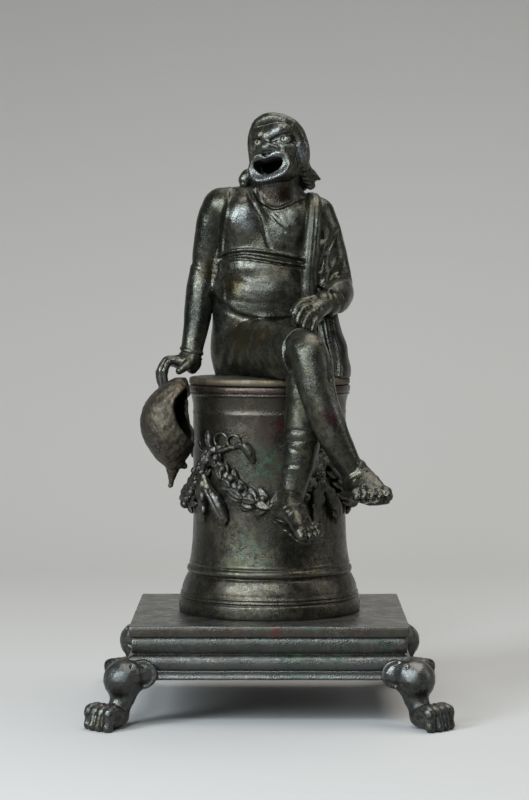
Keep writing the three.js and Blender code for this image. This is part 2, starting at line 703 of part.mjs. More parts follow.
// Right hand: its heel on the lid, its fingers bent down over the edge on to the pouch.
function rightHandShape(grow = 0) {
  const width = 4.6 * fingerRadius;
  const spread = (2 * width) / 4;
  const at = (out, sideways, up, ...radii) => [rightWrist.x - out, rightWrist.y + sideways, rightWrist.z + up, ...radii];
  const across = V(0, 1, 0);
  const palm = limb([
    at(0.4, 0, -1, 0.9 * width, wristRadius),
    at(2.8, 0, -3.3, width, 3.1),
    at(8, 0, -3.9, width, 2),
  ], { sides: 8, steps: 3, side: across, grow });
  const heel = ball(V(...at(-0.4, 0, -6.8)), V(3.2 + grow, 5 + grow, 4 + grow), 0);
  const fingers = [-1.5, -0.5, 0.5, 1.5].map((place) => limb([
    at(6.6, place * spread, -3.6, fingerRadius),
    at(10.2, place * spread, -4.3, fingerRadius),
    at(12.8, place * spread, -8.8, fingerRadius),
    at(11.2 - 0.3 * place, place * spread, -14.5, 0.85 * fingerRadius),
  ], { sides: 5, steps: 5, side: across, grow }));
  const thumb = limb([
    at(0.6, -width, -5.3, 1.3 * fingerRadius),
    at(3.2, -width - 0.6, -6.9, 1.3 * fingerRadius),
    at(5.8, -width - 0.4, -8.9, fingerRadius),
  ], { sides: 5, steps: 3, side: across, round: [0, 0.7], grow });
  return joined(palm, heel, ...fingers, thumb);
}

// Left arm in the mantle, bent across the body.
const leftElbow = V(torsoHalfWidth + 8, 3, 35.5);
const leftWrist = V(torsoHalfWidth + 0.9, -20, 29);
function leftArmShape(grow = 0) {
  const upper = limb([
    [torsoHalfWidth + 0.9, 1, shoulderHeight - 1, 1.06 * upperArmRadius],
    [torsoHalfWidth + 3, 2, trunkUp(0.78), upperArmRadius],
    [torsoHalfWidth + 5.4, 3, trunkUp(0.57), upperArmRadius],
    [leftElbow.x, leftElbow.y, leftElbow.z, 0.96 * upperArmRadius],
  ], { sides: 10, steps: 5, round: [0.7, 0.8], grow });
  const lower = limb([
    [leftElbow.x, leftElbow.y, leftElbow.z, 0.93 * upperArmRadius],
    [leftElbow.x - 2.2, -9, 31.5, 0.98 * upperArmRadius],
    [leftWrist.x, leftWrist.y, leftWrist.z, 1.15 * wristRadius],
  ], { sides: 10, steps: 4, side: V(0, 0, 1), round: [0.8, 0], grow });
  return joined(upper, lower);
}

// Left hand, half closed on the right knee.
function leftHandShape() {
  const at = (x, y, z, ...radii) => [leftWrist.x + x, leftWrist.y + y, leftWrist.z + z, ...radii];
  const palm = limb([
    at(0.6, 1, 0, 0.95 * wristRadius, 0.85 * wristRadius),
    at(-2.9, -7, -1.6, 4.6, 3),
    at(-6.3, -12.6, -3, 5, 2.4),
  ], { sides: 8, steps: 3, side: V(1, 0.6, 0) });
  const fingers = [0, 1, 2, 3].map((i) => limb([
    at(2.1 * i - 9.1, -11.4 - 0.5 * i, -2.6 - 0.2 * i, fingerRadius),
    at(2.3 * i - 10.9, -15.2 - 0.8 * i, -3.6 - 0.5 * i, fingerRadius),
    at(2.4 * i - 11.9, -16.4 - 1.2 * i, -7.2 - 0.9 * i, 0.9 * fingerRadius),
  ], { sides: 5, steps: 4 }));
  const thumb = limb([
    at(-6.1, -7, -1.4, 1.3 * fingerRadius),
    at(-10.7, -9, -3.4, 1.2 * fingerRadius),
    at(-12.7, -10.4, -5.4, fingerRadius),
  ], { sides: 5, steps: 3, side: V(0, 1, 0) });
  return joined(palm, ...fingers, thumb);
}

// Legs in their wrinkled hose, from the tunic's hem to the ankle.
const rightKnee = V(14.6, seatEdge - 12, 11.6);
const rightAnkle = V(32.4, seatEdge - 13.8, rightKnee.z - rightShin);
function rightLegShape(grow = 0) {
  const thighEnd = limb([
    [rightHem.x - 3, rightHem.y + 5, rightHem.z, kneeRadius],
    [rightHem.x, rightHem.y, rightHem.z, kneeRadius],
    [rightKnee.x, rightKnee.y, rightKnee.z, kneeRadius],
  ], { sides: 10, round: [0, 0.9], grow });
  const shin = limb([
    [rightKnee.x, rightKnee.y, rightKnee.z, kneeRadius],
    [16.6, seatEdge - 15, rightKnee.z - 0.23 * rightShin, 1.1 * calfRadius],
    [19.9, seatEdge - 16.8, rightKnee.z - 0.43 * rightShin, calfRadius],
    [23.4, seatEdge - 16.8, rightKnee.z - 0.64 * rightShin, 0.98 * calfRadius],
    [28.6, seatEdge - 15.4, rightKnee.z - 0.87 * rightShin, 0.84 * calfRadius],
    [rightAnkle.x, rightAnkle.y, rightAnkle.z, footAnkleRadius],
  ], { sides: 10, steps: 7, round: [0.9, 0.6], grow });
  return joined(thighEnd, shin);
}

const leftKnee = V(13, seatEdge - 7, 4.6);
const leftAnkle = V(8, seatEdge - 10.8, leftKnee.z - leftShin);
function leftLegShape(grow = 0) {
  const thighEnd = limb([
    [leftHem.x, leftHem.y + 4, leftHem.z, kneeRadius - 0.6],
    [leftKnee.x, leftKnee.y, leftKnee.z, kneeRadius],
  ], { sides: 10, round: [0, 0.9], grow });
  const shin = limb([
    [leftKnee.x, leftKnee.y, leftKnee.z, kneeRadius],
    [12.8, seatEdge - 8.8, leftKnee.z - 0.3 * leftShin, 1.12 * calfRadius],
    [12, seatEdge - 9.6, leftKnee.z - 0.6 * leftShin, 1.12 * calfRadius],
    [10.2, seatEdge - 10.4, leftKnee.z - 0.78 * leftShin, 0.95 * calfRadius],
    [leftAnkle.x, leftAnkle.y, leftAnkle.z, footAnkleRadius],
  ], { sides: 10, steps: 6, round: [0.9, 0.6], grow });
  return joined(thighEnd, shin);
}

// Foot in a sandal, from its heel to its toes. The big toe lies on the side that the side vector points to.
function footShape(heel, toes, ankle, side) {
  const along = toes.clone().sub(heel);
  const up = V(0, 0, 1).addScaledVector(along, -along.z / along.lengthSq()).normalize();
  const at = (share, lift) => heel.clone().addScaledVector(along, share).addScaledVector(up, lift);
  const half = footWidth / 2;
  const raised = (share, lift, a, b) => [...at(share, lift).toArray(), a, b];
  const sole = limb([
    raised(-0.06, -0.5 * soleThickness, 0.6 * half, 0.5 * soleThickness),
    raised(0.3, -0.5 * soleThickness, 0.8 * half, 0.5 * soleThickness),
    raised(0.75, -0.5 * soleThickness, 1.14 * half, 0.5 * soleThickness),
    raised(1.05, -0.5 * soleThickness, 0.95 * half, 0.5 * soleThickness),
  ], { sides: 8, steps: 4, side });
  const instep = limb([
    raised(0, 3, 0.66 * half, 3.3),
    raised(0.3, 3.4, 0.78 * half, 3.7),
    raised(0.62, 2, 0.92 * half, 2.4),
    raised(0.84, 1.2, 0.94 * half, 1.5),
  ], { sides: 8, steps: 4, side, round: [0.6, 0] });
  const neck = at(0.2, 3);
  const shank = limb([
    [neck.x, neck.y, neck.z, 0.95 * footAnkleRadius],
    [ankle.x, ankle.y, ankle.z, footAnkleRadius],
  ], { sides: 8, side });
  const toeSpacing = (2 * half - toeOfFootRadius) / 4.4;
  const front = [-2, -1, 0, 1, 2].map((place) => {
    const big = place === 2 ? 1.3 : 1;
    const out = side.clone().multiplyScalar(place * toeSpacing);
    const root = at(0.8, 1.3).add(out);
    const tip = at(1.02 - 0.035 * Math.abs(place - 1), toeOfFootRadius * big * 0.8).add(out);
    return limb([
      [root.x, root.y, root.z, toeOfFootRadius * big],
      [tip.x, tip.y, tip.z, toeOfFootRadius * big],
    ], { sides: 5, side });
  });
  return joined(sole, instep, shank, ...front);
}

// Mantle: a band over the left shoulder, and the end that falls beside the hip to the lid.
function mantleBandShape(grow = 0) {
  const x = 0.82 * torsoHalfWidth;
  const y = 0.6 * torsoHalfDepth;
  const half = mantleWidth / 2;
  return solid(limb([
    [x - 0.8, -y - 0.6, trunkUp(0.3), half, mantleThickness],
    [x, -y - 0.2, trunkUp(0.6), half, mantleThickness],
    [x + 0.3, -y + 0.6, trunkUp(0.85), half, mantleThickness],
    [x - 0.3, -0.45 * y, trunkUp(1.06), half, 0.7 * mantleThickness],
    [x - 0.8, 0.3 * y, trunkUp(1.11), half, 0.6 * mantleThickness],
    [x - 0.2, 1.05 * y, trunkUp(1), half, 0.7 * mantleThickness],
    [x, 1.3 * y, trunkUp(0.7), half, mantleThickness],
    [x, 1.3 * y, trunkUp(0.35), half, mantleThickness],
  ], { sides: 8, steps: 10, grow }));
}

function mantleFallShape() {
  return solid(stack([
    [seamGap, 25.2, -2, 6.3, 10.6],
    [4, 25.4, -2, 6.5, 11],
    [10.4, 24.4, -1.5, 6.4, 10.5],
    [16, 22.8, -0.5, 5.8, 9],
    [22, 21.6, 1, 5, 7.5],
    [leftElbow.z - 4, 22.5, 2, 4.6, 6],
  ], 12));
}

// Pouch: a stiff hollow bag whose mouth looks at the altar, with the knot of its corner below.
const pouchMouth = V(-altarRimRadius - 0.1, -17.5, -12.6);
function pouchShape() {
  const facing = V(0.96, -0.2, 0.19).normalize();
  const acrossMouth = V(0.2, 0.98, 0).normalize();
  const upMouth = facing.clone().cross(acrossMouth).normalize();
  const section = (back, drop, halfWidth, halfHeight) => ellipse(
    pouchMouth.clone().addScaledVector(facing, -back * pouchDepth).addScaledVector(upMouth, -drop * pouchHalfHeight),
    acrossMouth.clone().multiplyScalar(halfWidth),
    upMouth.clone().multiplyScalar(halfHeight),
    14,
  ).reverse();
  const rings = (wall) => skin([
    section(wall ? -0.2 : 0, 0, pouchMouthWidth - wall, pouchMouthHeight - wall),
    section(0.07, 0.04, 1.04 * pouchMouthWidth - wall, 1.04 * pouchMouthHeight - wall),
    section(0.22, 0.2, 0.9 * pouchHalfWidth - wall, 0.89 * pouchHalfHeight - wall),
    section(0.45, 0.36, pouchHalfWidth - wall, pouchHalfHeight - wall),
    section(0.68, 0.38, 0.95 * pouchHalfWidth - wall, 0.95 * pouchHalfHeight - wall),
    section(0.88, 0.36, 0.72 * pouchHalfWidth - wall, 0.74 * pouchHalfHeight - wall),
    section(1 - (wall ? 0.07 : 0), 0.34, 0.36 * pouchHalfWidth, 0.38 * pouchHalfHeight),
  ]);
  const cornerTop = pouchMouth.clone().add(V(-0.42 * pouchDepth, 1.5, -1.21 * pouchHalfHeight));
  const corner = limb([
    [cornerTop.x, cornerTop.y, cornerTop.z, 4.4],
    [cornerTop.x - 0.3, cornerTop.y, cornerTop.z - 4.5, 2.2],
    [cornerTop.x, cornerTop.y, cornerTop.z - 9.5, 1],
  ], { sides: 6, steps: 3, round: [0, 0.6] });
  // The wall stays whole where the bottom is flattened against the garlands' way.
  const hollow = solid(rings(pouchWall)).subtract(lowerWay(pouchWall));
  return joined(rings(0), corner).subtract(largest(hollow));
}

// The figure's pieces. Each keeps off the ones before it by the seam gap, and off the lid and the lift's way.
function makeFigure() {
  const cut = (made, ...others) => largest(others.reduce((left, other) => left.subtract(other), made));
  const seam = { trunk: trunkShape(seamGap), lap: lapShape(seamGap) };
  seam.rightArm = rightArmShape(seamGap);
  seam.rightHand = rightHandShape(seamGap);
  seam.leftArm = leftArmShape(seamGap);
  seam.rightLeg = rightLegShape(seamGap);
  seam.leftLeg = leftLegShape(seamGap);
  seam.band = mantleBandShape(seamGap);
  const footAt = (ankle, heel, toes, side) => footShape(ankle.clone().add(heel), ankle.clone().add(toes), ankle, side.normalize());
  const rightFoot = footAt(rightAnkle, V(-0.4, 5.8, -8), V(6.2, -15.4, -9), V(0.96, 0.3, 0));
  const leftFoot = footAt(leftAnkle, V(-4, 1.4, -9.6), V(7, -15, -13.8), V(-0.83, -0.55, 0));
  return [
    piece('tunic_body', cut(trunkShape(), flue), 'figure'),
    piece('tunic_lap', cut(lapShape(), seam.trunk, post(smokeHoleRadius, -1, lapHeight + 1, 16)), 'figure'),
    piece('mask', cut(maskShape(), seam.trunk, flue), 'figure'),
    piece('eye_inlay_right', eyeShape(-1), 'silver'),
    piece('eye_inlay_left', eyeShape(1), 'silver'),
    piece('right_arm', cut(rightArmShape(), seam.trunk, seam.lap), 'figure'),
    piece('right_hand', cut(rightHandShape(), seam.rightArm, lidRoom), 'figure'),
    piece('left_arm', cut(leftArmShape(), seam.trunk, seam.lap), 'figure'),
    piece('left_hand', cut(leftHandShape(), seam.leftArm, seam.lap, seam.rightLeg), 'figure'),
    piece('right_leg', cut(rightLegShape(), seam.lap, liftWay), 'figure'),
    piece('left_leg', cut(leftLegShape(), seam.lap, seam.rightLeg, liftWay), 'figure'),
    piece('right_foot', cut(rightFoot, seam.rightLeg, liftWay), 'figure'),
    piece('left_foot', cut(leftFoot, seam.leftLeg, liftWay), 'figure'),
    piece('mantle_shoulder', cut(mantleBandShape(), seam.trunk, seam.leftArm, seam.lap), 'figure'),
    piece('mantle_fall', cut(mantleFallShape(), seam.trunk, seam.lap, seam.leftArm, seam.band), 'figure'),
    piece('held_pouch', cut(pouchShape(), seam.rightHand, lidRoom, liftWay), 'figure'),
  ];
}

const group = new THREE.Group();
group.add(piece('plinth', makePlinth(), 'base'));
group.add(...makeFeet());
group.add(piece('altar_drum', makeDrum(), 'altar'));
group.add(...makeReliefs());
group.add(piece('fire_pan', makePan(), 'pan'));
group.add(piece('lid', makeLid(), 'lid'));
const figure = new THREE.Group();
figure.position.z = lidTop;
figure.add(...makeFigure());
group.add(figure);
export default group;
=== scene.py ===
"""Bronze incense burner: a comic actor in a slave's mask sits, one leg over the other, on the lid of a
garlanded round altar, which stands on a moulded plinth with lion's paws. Modelling is in millimetres and
every mesh is written in metres. The figure's own places are measured from the middle of the lid's top."""
import math

import bmesh
import bpy
import numpy as np
import openvdb
from mathutils import Matrix, Vector, noise


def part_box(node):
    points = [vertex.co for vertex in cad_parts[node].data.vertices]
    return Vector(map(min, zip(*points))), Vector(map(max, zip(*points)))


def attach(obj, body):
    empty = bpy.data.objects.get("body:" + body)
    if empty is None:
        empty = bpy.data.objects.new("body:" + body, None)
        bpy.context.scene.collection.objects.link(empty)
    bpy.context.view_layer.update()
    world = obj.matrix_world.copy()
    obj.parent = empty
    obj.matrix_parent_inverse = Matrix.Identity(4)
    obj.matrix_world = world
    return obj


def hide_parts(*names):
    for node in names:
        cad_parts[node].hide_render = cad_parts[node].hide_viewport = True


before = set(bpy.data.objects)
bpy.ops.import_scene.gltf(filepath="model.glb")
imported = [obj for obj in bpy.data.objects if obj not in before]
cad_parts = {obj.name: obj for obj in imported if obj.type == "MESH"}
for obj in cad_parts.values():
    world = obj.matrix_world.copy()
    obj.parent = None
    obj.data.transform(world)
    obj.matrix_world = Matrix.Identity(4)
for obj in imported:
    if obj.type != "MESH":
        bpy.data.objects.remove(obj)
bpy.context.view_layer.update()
MM = 0.001


# Camera
# A long lens a metre away, level with the actor's belly and looking slightly down.
LOOK_DOWN = 2.76
LOOK_LEFT = 0.187
camera = bpy.data.objects.new("camera", bpy.data.cameras.new("camera"))
camera.data.sensor_fit = "VERTICAL"
camera.data.sensor_height = 36
camera.data.lens = 114.5
camera.data.clip_start = 0.05
camera.location = (0.0013, -1.0, 0.1684)
camera.rotation_euler = (math.radians(90 - LOOK_DOWN), 0, math.radians(LOOK_LEFT))
bpy.context.collection.objects.link(camera)
bpy.context.scene.camera = camera
bpy.context.scene.view_settings.view_transform = "Standard"


# Studio
# A pale grey sweep of paper under and behind the piece, with soft boxes around it: a cool one at the left
# gives the main light, and a large warm one above lights the paper.
def make_object(name, points, faces, material=None):
    mesh = bpy.data.meshes.new(name)
    mesh.from_pydata(np.asarray(points, float).tolist(), [], faces)
    mesh.update()
    mesh.shade_smooth()
    if material:
        mesh.materials.append(material)
    thing = bpy.data.objects.new(name, mesh)
    bpy.context.collection.objects.link(thing)
    return thing


class Socket:
    """One output socket of a node tree. Arithmetic on it adds Math nodes to the tree in hand."""

    tree = None

    def __init__(self, socket):
        self.socket = socket

    @classmethod
    def node(cls, kind, settings=None, output=0, **inputs):
        """Adds a node with its settings, then the values or links of its inputs, by name or as i0, i1."""
        made = cls.tree.nodes.new(kind)
        for name, value in (settings or {}).items():
            setattr(made, name, value)
        for name, value in inputs.items():
            numbered = name[0] == "i" and name[1:].isdigit()
            cls.feed(made.inputs[int(name[1:]) if numbered else name.replace("_", " ")], value)
        return cls(made.outputs[output])

    @classmethod
    def feed(cls, socket, value):
        if isinstance(value, Socket):
            cls.tree.links.new(value.socket, socket)
        elif socket.type == "RGBA" and len(value) == 3:
            socket.default_value = (*value, 1)
        else:
            socket.default_value = value

    def maths(self, operation, *others):
        inputs = {f"i{n}": value for n, value in enumerate((self, *others))}
        return Socket.node("ShaderNodeMath", {"operation": operation}, **inputs)

    @classmethod
    def vectors(cls, operation, *places, output=0, **inputs):
        inputs.update({f"i{n}": value for n, value in enumerate(places)})
        return cls.node("ShaderNodeVectorMath", {"operation": operation}, output, **inputs)

    def __add__(self, other):
        return self.maths("ADD", other)

    __radd__ = __add__

    def __mul__(self, other):
        return self.maths("MULTIPLY", other)

    __rmul__ = __mul__

    def __sub__(self, other):
        return self.maths("SUBTRACT", other)

    def __rsub__(self, other):
        return self * -1.0 + other

    def between(self, low, high):
        """0 below low, 1 above high, and smooth in between."""
        smooth = {"interpolation_type": "SMOOTHSTEP"}
        return Socket.node("ShaderNodeMapRange", smooth, i0=self, i1=low, i2=high)

    def tint(self, low, high):
        """Colour low where this is 0 and colour high where it is 1."""
        return Socket.node("ShaderNodeMix", {"data_type": "RGBA"}, 2, i0=self, i6=low, i7=high)


def start_material(name):
    material = bpy.data.materials.new(name)
    material.use_nodes = True
    Socket.tree = material.node_tree
    return material, material.node_tree.nodes["Principled BSDF"].inputs


def object_place():
    return Socket.node("ShaderNodeTexCoord", None, "Object")


# The paper's colour darkens from the floor up the sweep: painted shade for the light that falls off with
# height.
PAPER_NEAR = (0.292, 0.284, 0.272)
PAPER_HIGH = (0.18, 0.17, 0.159)
paper, paper_inputs = start_material("grey_paper")
paper_inputs["Roughness"].default_value = 0.9
paper_height = Socket.node("ShaderNodeSeparateXYZ", None, "Z", i0=object_place())
Socket.feed(paper_inputs["Base Color"], paper_height.between(-0.02, 0.6).tint(PAPER_NEAR, PAPER_HIGH))
# The back of the sweep is clear, so that the burner can be looked at from behind.
clear = paper.node_tree.nodes.new("ShaderNodeBsdfTransparent")
sides = paper.node_tree.nodes.new("ShaderNodeMixShader")
Socket.feed(sides.inputs[0], Socket.node("ShaderNodeNewGeometry", None, "Backfacing"))
paper.node_tree.links.new(paper.node_tree.nodes["Principled BSDF"].outputs[0], sides.inputs[1])
paper.node_tree.links.new(clear.outputs[0], sides.inputs[2])
paper.node_tree.links.new(sides.outputs[0], paper.node_tree.nodes["Material Output"].inputs[0])

SWEEP_FRONT = -1.6
SWEEP_BACK = 0.9
SWEEP_BEND = 0.45
SWEEP_TOP = 2.2
SWEEP_HALF = 2.4
SWEEP_STEPS = 16
SWEEP_DROP = 0.0001
sweep_line = [(SWEEP_FRONT, 0.0), (SWEEP_BACK - SWEEP_BEND, 0.0)]
for step in range(1, SWEEP_STEPS + 1):
    turn = math.pi / 2 * step / SWEEP_STEPS
    y = SWEEP_BACK - SWEEP_BEND + SWEEP_BEND * math.sin(turn)
    sweep_line.append((y, SWEEP_BEND * (1 - math.cos(turn))))
sweep_line.append((SWEEP_BACK, SWEEP_TOP))
sweep_points = [(side * SWEEP_HALF, y, z - SWEEP_DROP) for y, z in sweep_line for side in (-1, 1)]
sweep_faces = [(2 * i, 2 * i + 1, 2 * i + 3, 2 * i + 2) for i in range(len(sweep_line) - 1)]
make_object("paper_sweep", sweep_points, sweep_faces, paper)


def soft_box(name, place, aim, width, height, watts, colour):
    data = bpy.data.lights.new(name, "AREA")
    data.shape = "RECTANGLE"
    data.size = width
    data.size_y = height
    data.energy = watts
    data.color = colour
    lamp = bpy.data.objects.new(name, data)
    lamp.location = place
    lamp.rotation_euler = (Vector(aim) - Vector(place)).to_track_quat("-Z", "Y").to_euler()
    bpy.context.collection.objects.link(lamp)


MIDDLE = (0, 0, 0.12)
soft_box("box_left", (-0.66, -0.66, 0.54), MIDDLE, 0.27, 0.6, 15.5, (0.8, 0.91, 1.0))
soft_box("box_right", (0.85, -0.1, 0.42), MIDDLE, 0.2, 0.5, 1.6, (0.9, 0.96, 1.0))
soft_box("box_front", (-0.12, -0.85, 0.95), MIDDLE, 0.42, 0.24, 9, (0.82, 0.92, 1.0))
soft_box("box_strip", (-0.2, -0.95, 0.44), MIDDLE, 0.11, 0.6, 4.2, (0.8, 0.91, 1.0))
soft_box("box_top", (0.3, 0.15, 1.35), (0.2, 0.15, 0), 1.4, 1.0, 22, (1.0, 0.97, 0.93))
world = bpy.data.worlds.new("studio_air")
world.use_nodes = True
world.node_tree.nodes["Background"].inputs["Color"].default_value = (0.68, 0.64, 0.57, 1)
world.node_tree.nodes["Background"].inputs["Strength"].default_value = 0.1
bpy.context.scene.world = world


# Plinth
# A hollow casting, open below: a plain top slab with a crisp edge, a fascia under it, a bold roll and a
# hollow foot moulding. Cast bronze gone nearly black, with its edges knocked and rubbed.
def noise_at(place, scale, detail, roughness=0.55):
    inputs = {"Vector": place, "Scale": scale, "Detail": detail, "Roughness": roughness}
    return Socket.node("ShaderNodeTexNoise", None, 0, **inputs)


def nearness(place, centre, radius):
    """1 within a third of the radius of a point, and 0 outside the radius."""
    middle = [part * MM for part in centre]
    away = Socket.vectors("DISTANCE", place, middle, output="Value")
    return 1 - away.between(radius * MM / 3, radius * MM)


GREEN_CORROSION = (0.027, 0.084, 0.048)
RED_OXIDE = (0.085, 0.03, 0.022)
# Pale bronze of rubbed metal, used also for painted highlights.
BARE_BRONZE_AND_SHEEN = (0.19, 0.2, 0.205)
BAND_EDGE = 0.3


def patina(name, base, cloud, gloss, green, red, spots=(), bare=(), bands=(), stains_and_shade=(), pitting=0.5,
           rubbed=1.0):
    """Old bronze: clouds of two dark browns, green corrosion, red oxide and rubbed edges. Each spot is x, y,
    z, radius and strength of a place with green corrosion, and bare lists in the same way places lightened to
    pale bronze, both rubbed places and painted highlights. A band is its low and high height, colour and
    strength, and gives the bronze's own tints and also painted light. Each darker place is x, y, z, radius
    and colour, of patina staining and also of painted shade."""
    material, inputs = start_material(name)
    place = object_place()
    clouds = noise_at(place, 60, 5).between(0.38, 0.64)
    blotches = noise_at(place, 420, 8, 0.72)
    pits = noise_at(place, 1300, 4, 0.65)
    swells = noise_at(place, 430, 3)
    colour = clouds.tint(base, cloud)
    stained = noise_at(place, 210, 8, 0.75).between(0.48, 0.6) * 0.65
    colour = stained.tint(colour, (base[0] * 1.1, base[1] * 0.92, base[2] * 0.48))
    colour = blotches.between(0.42, 0.6).tint(colour, [part * 0.4 for part in base])
    height = Socket.node("ShaderNodeSeparateXYZ", None, "Z", i0=place)

    def above(level):
        return height.between((level - BAND_EDGE) * MM, (level + BAND_EDGE) * MM)

    # Bands of height: the bronze's own tints, and on the plinth also painted shade, a painted highlight and a
    # painted reflection.
    for low, high, patch_colour, strength in bands:
        inside = above(low) * (1 - above(high))
        colour = (inside * blotches.between(0.3, 0.6) * strength).tint(colour, patch_colour)
    # Darker places: patina staining, and on the figure also painted shade.
    for x, y, z, radius, patch_colour in stains_and_shade:
        colour = (nearness(place, (x, y, z), radius) * blotches.between(0.3, 0.52)).tint(colour, patch_colour)
    grains = noise_at(place, 2100, 3, 0.7)
    crust = noise_at(place, 130, 8, 0.75).between(0.68 - 0.16 * green, 0.8 - 0.16 * green)
    corrosion = crust * min(1.0, green * 3)
    for x, y, z, radius, strength in spots:
        local = nearness(place, (x, y, z), radius) * noise_at(place, 520, 8, 0.78).between(0.48, 0.6)
        corrosion = corrosion.maths("MAXIMUM", local * strength)
    corrosion = corrosion * grains.between(0.42, 0.54)
    colour = corrosion.tint(colour, GREEN_CORROSION)
    rust = noise_at(place, 95, 6, 0.7).between(0.7 - 0.14 * red, 0.8 - 0.14 * red)
    oxide = rust * (0.8 * min(1.0, red * 3))
    colour = oxide.tint(colour, RED_OXIDE)
    edges = Socket.node("ShaderNodeNewGeometry", None, "Pointiness").between(0.52, 0.62)
    wear_and_sheen = edges * blotches.between(0.35, 0.6) * (0.5 * rubbed)
    # Bare places take the pale bronze too: rubbed wear, and on the figure mostly painted highlights.
    for x, y, z, radius, strength in bare:
        wear_and_sheen = wear_and_sheen.maths("MAXIMUM", nearness(place, (x, y, z), radius) * pits.between(0.3, 0.62) * strength)
    Socket.feed(inputs["Base Color"], wear_and_sheen.tint(colour, BARE_BRONZE_AND_SHEEN))
    inputs["Metallic"].default_value = 0.85
    roughness = noise_at(place, 170, 5, 0.6).between(0.35, 0.65) * (gloss[1] - gloss[0]) + gloss[0]
    dull = corrosion * 0.3 + oxide * 0.2 + grains.between(0.4, 0.7) * 0.15
    Socket.feed(inputs["Roughness"], roughness + dull)
    relief = blotches * 0.12 + pits * (0.28 + 0.5 * pitting) + swells * 0.25
    bump = Socket.node("ShaderNodeBump", None, 0, Strength=0.6, Distance=0.00045, Height=relief)
    Socket.feed(inputs["Normal"], bump)
    return material


# Blender seeds noise_vector by the clock unless a seed is set, and the knocks have to be the same each run.
noise.seed_set(3)


def unevenness(point, amount, size):
    """Moves a point by up to amount, over swells of the given size."""
    return point + noise.noise_vector(point / size) * amount


SAME_POINT = 1e-7


def close_seam(piece):
    """Joins doubled points and turns every face outwards."""
    work = bmesh.new()
    work.from_mesh(piece.data)
    bmesh.ops.remove_doubles(work, verts=work.verts, dist=SAME_POINT)
    bmesh.ops.recalc_face_normals(work, faces=work.faces)
    work.to_mesh(piece.data)
    work.free()


def finish_piece(piece, body, node):
    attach(piece, body)
    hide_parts(node)


def box_in_mm(node):
    return [Vector(corner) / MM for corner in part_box(node)]


def stepped(out, up, steps):
    """Points of a profile, given as steps (out, up) from one place."""
    return [(out + step_out, up + step_up) for step_out, step_up in steps]


def arc(centre, radii, start, end, count):
    """Points of (offset, height) on an arc, with angles in degrees from outwards and up."""
    angles = [math.radians(start + (end - start) * i / (count - 1)) for i in range(count)]
    return [(centre[0] + radii[0] * math.cos(t), centre[1] + radii[1] * math.sin(t)) for t in angles]


def rectangle_ring(half_x, half_y, radius, step):
    """Points round a rectangle with round corners, counterclockwise from above."""
    ring = []
    sides = ((1, 1, -1, 0, half_x), (-1, 1, 0, -1, half_y), (-1, -1, 1, 0, half_x), (1, -1, 0, 1, half_y))
    for quadrant, (sx, sy, along_x, along_y, half) in enumerate(sides):
        centre = (sx * (half_x - radius), sy * (half_y - radius))
        ring += arc(centre, (radius, radius), 90 * quadrant, 90 * (quadrant + 1), 5)
        count = int(2 * half / step)
        length = 2 * (half - radius)
        x, y = ring[-1]
        ring += [(x + along_x * length * k / count, y + along_y * length * k / count)
                 for k in range(1, count)]
    return ring


def ring_faces(rings, around):
    """Faces of a skin over rings that have their points one after another, with a cap at either end."""
    last = (rings - 1) * around
    faces = [(i + j, i + (j + 1) % around, i + around + (j + 1) % around, i + around + j)
             for i in range(0, last, around) for j in range(around)]
    return [*faces, tuple(range(around))[::-1], tuple(last + j for j in range(around))]


TORUS_PROUD = 0.5
PLINTH_PLATE = 2.6
PLINTH_STEP = 0.8
PLINTH_KNOCKS = 0.12
PLINTH_WAVE = 7.0
PLINTH_CORNER = 0.7
plinth_low, plinth_high = box_in_mm("plinth")
PLINTH_TOP = plinth_high.z
PLINTH_FOOT = plinth_low.z
PLINTH_X = (plinth_high.x - plinth_low.x) / 2 - TORUS_PROUD
PLINTH_Y = (plinth_high.y - plinth_low.y) / 2 - TORUS_PROUD
# Bands by height: the slab's edge is tinted brown, the darker fascia is painted shade, the lighter band over
# the foot moulding and roll is a painted highlight, and the pale band on the top face is a painted
# reflection. The paws share this bronze, so these bands fall on them too.
plinth_tint_and_light_bands = [(PLINTH_TOP - 3.6, PLINTH_TOP - 0.3, (0.06, 0.047, 0.034), 0.7),
                (PLINTH_TOP - 12.6, PLINTH_TOP - 3.6, (0.045, 0.045, 0.039), 0.8),
                (PLINTH_TOP - 19.5, PLINTH_TOP - 13, (0.13, 0.13, 0.125), 0.4),
                (PLINTH_TOP + 0.05, PLINTH_TOP + 1, (0.25, 0.225, 0.2), 0.9)]
plinth_bronze = patina(
    "plinth_bronze", (0.075, 0.073, 0.066), (0.045, 0.046, 0.042), (0.2, 0.36), green=0.6, red=0.35,
    spots=((43, -51, 30.5, 6, 1), (8, -51, 23, 10, 0.9), (24, -51, 18, 9, 0.9)), bands=plinth_tint_and_light_bands,
    stains_and_shade=((2, -PLINTH_Y, PLINTH_TOP - 2, 4, (0.075, 0.035, 0.03)),))
plinth_profile = [
    *stepped(0, PLINTH_TOP - PLINTH_PLATE, [(-40, 0), (-20, 0), (-3.3, 0)]),
    *stepped(0, PLINTH_FOOT, [
        (-2.6, 1), (-2.4, 0), (-1.2, 0), (-0.5, 0.1), (-0.3, 0.5), (-0.45, 1.0), (-0.8, 1.6), (-0.95, 2.4),
        (-0.7, 3.0), (-0.5, 3.2), (-1.0, 3.4), (-1.0, 3.6), *arc((-1.4, 6.5), (2.2, 2.9), -76, 80, 12),
        (-1.7, 9.7), (-1.7, 10.0), (-0.9, 10.3), (-0.95, 13.2), (-0.95, 15.5), (-1.35, 15.8), (-1.3, 16.1),
        (-0.2, 16.3), (0.0, 16.7)]),
    *stepped(0, PLINTH_TOP, [(0.05, -1.6), (0.0, -0.4), (-0.2, -0.08), (-0.6, 0)]),
    *((-offset, PLINTH_TOP) for offset in (1.4, 3, 6, 10, 15, 20, 25, 30, 35, 40))]
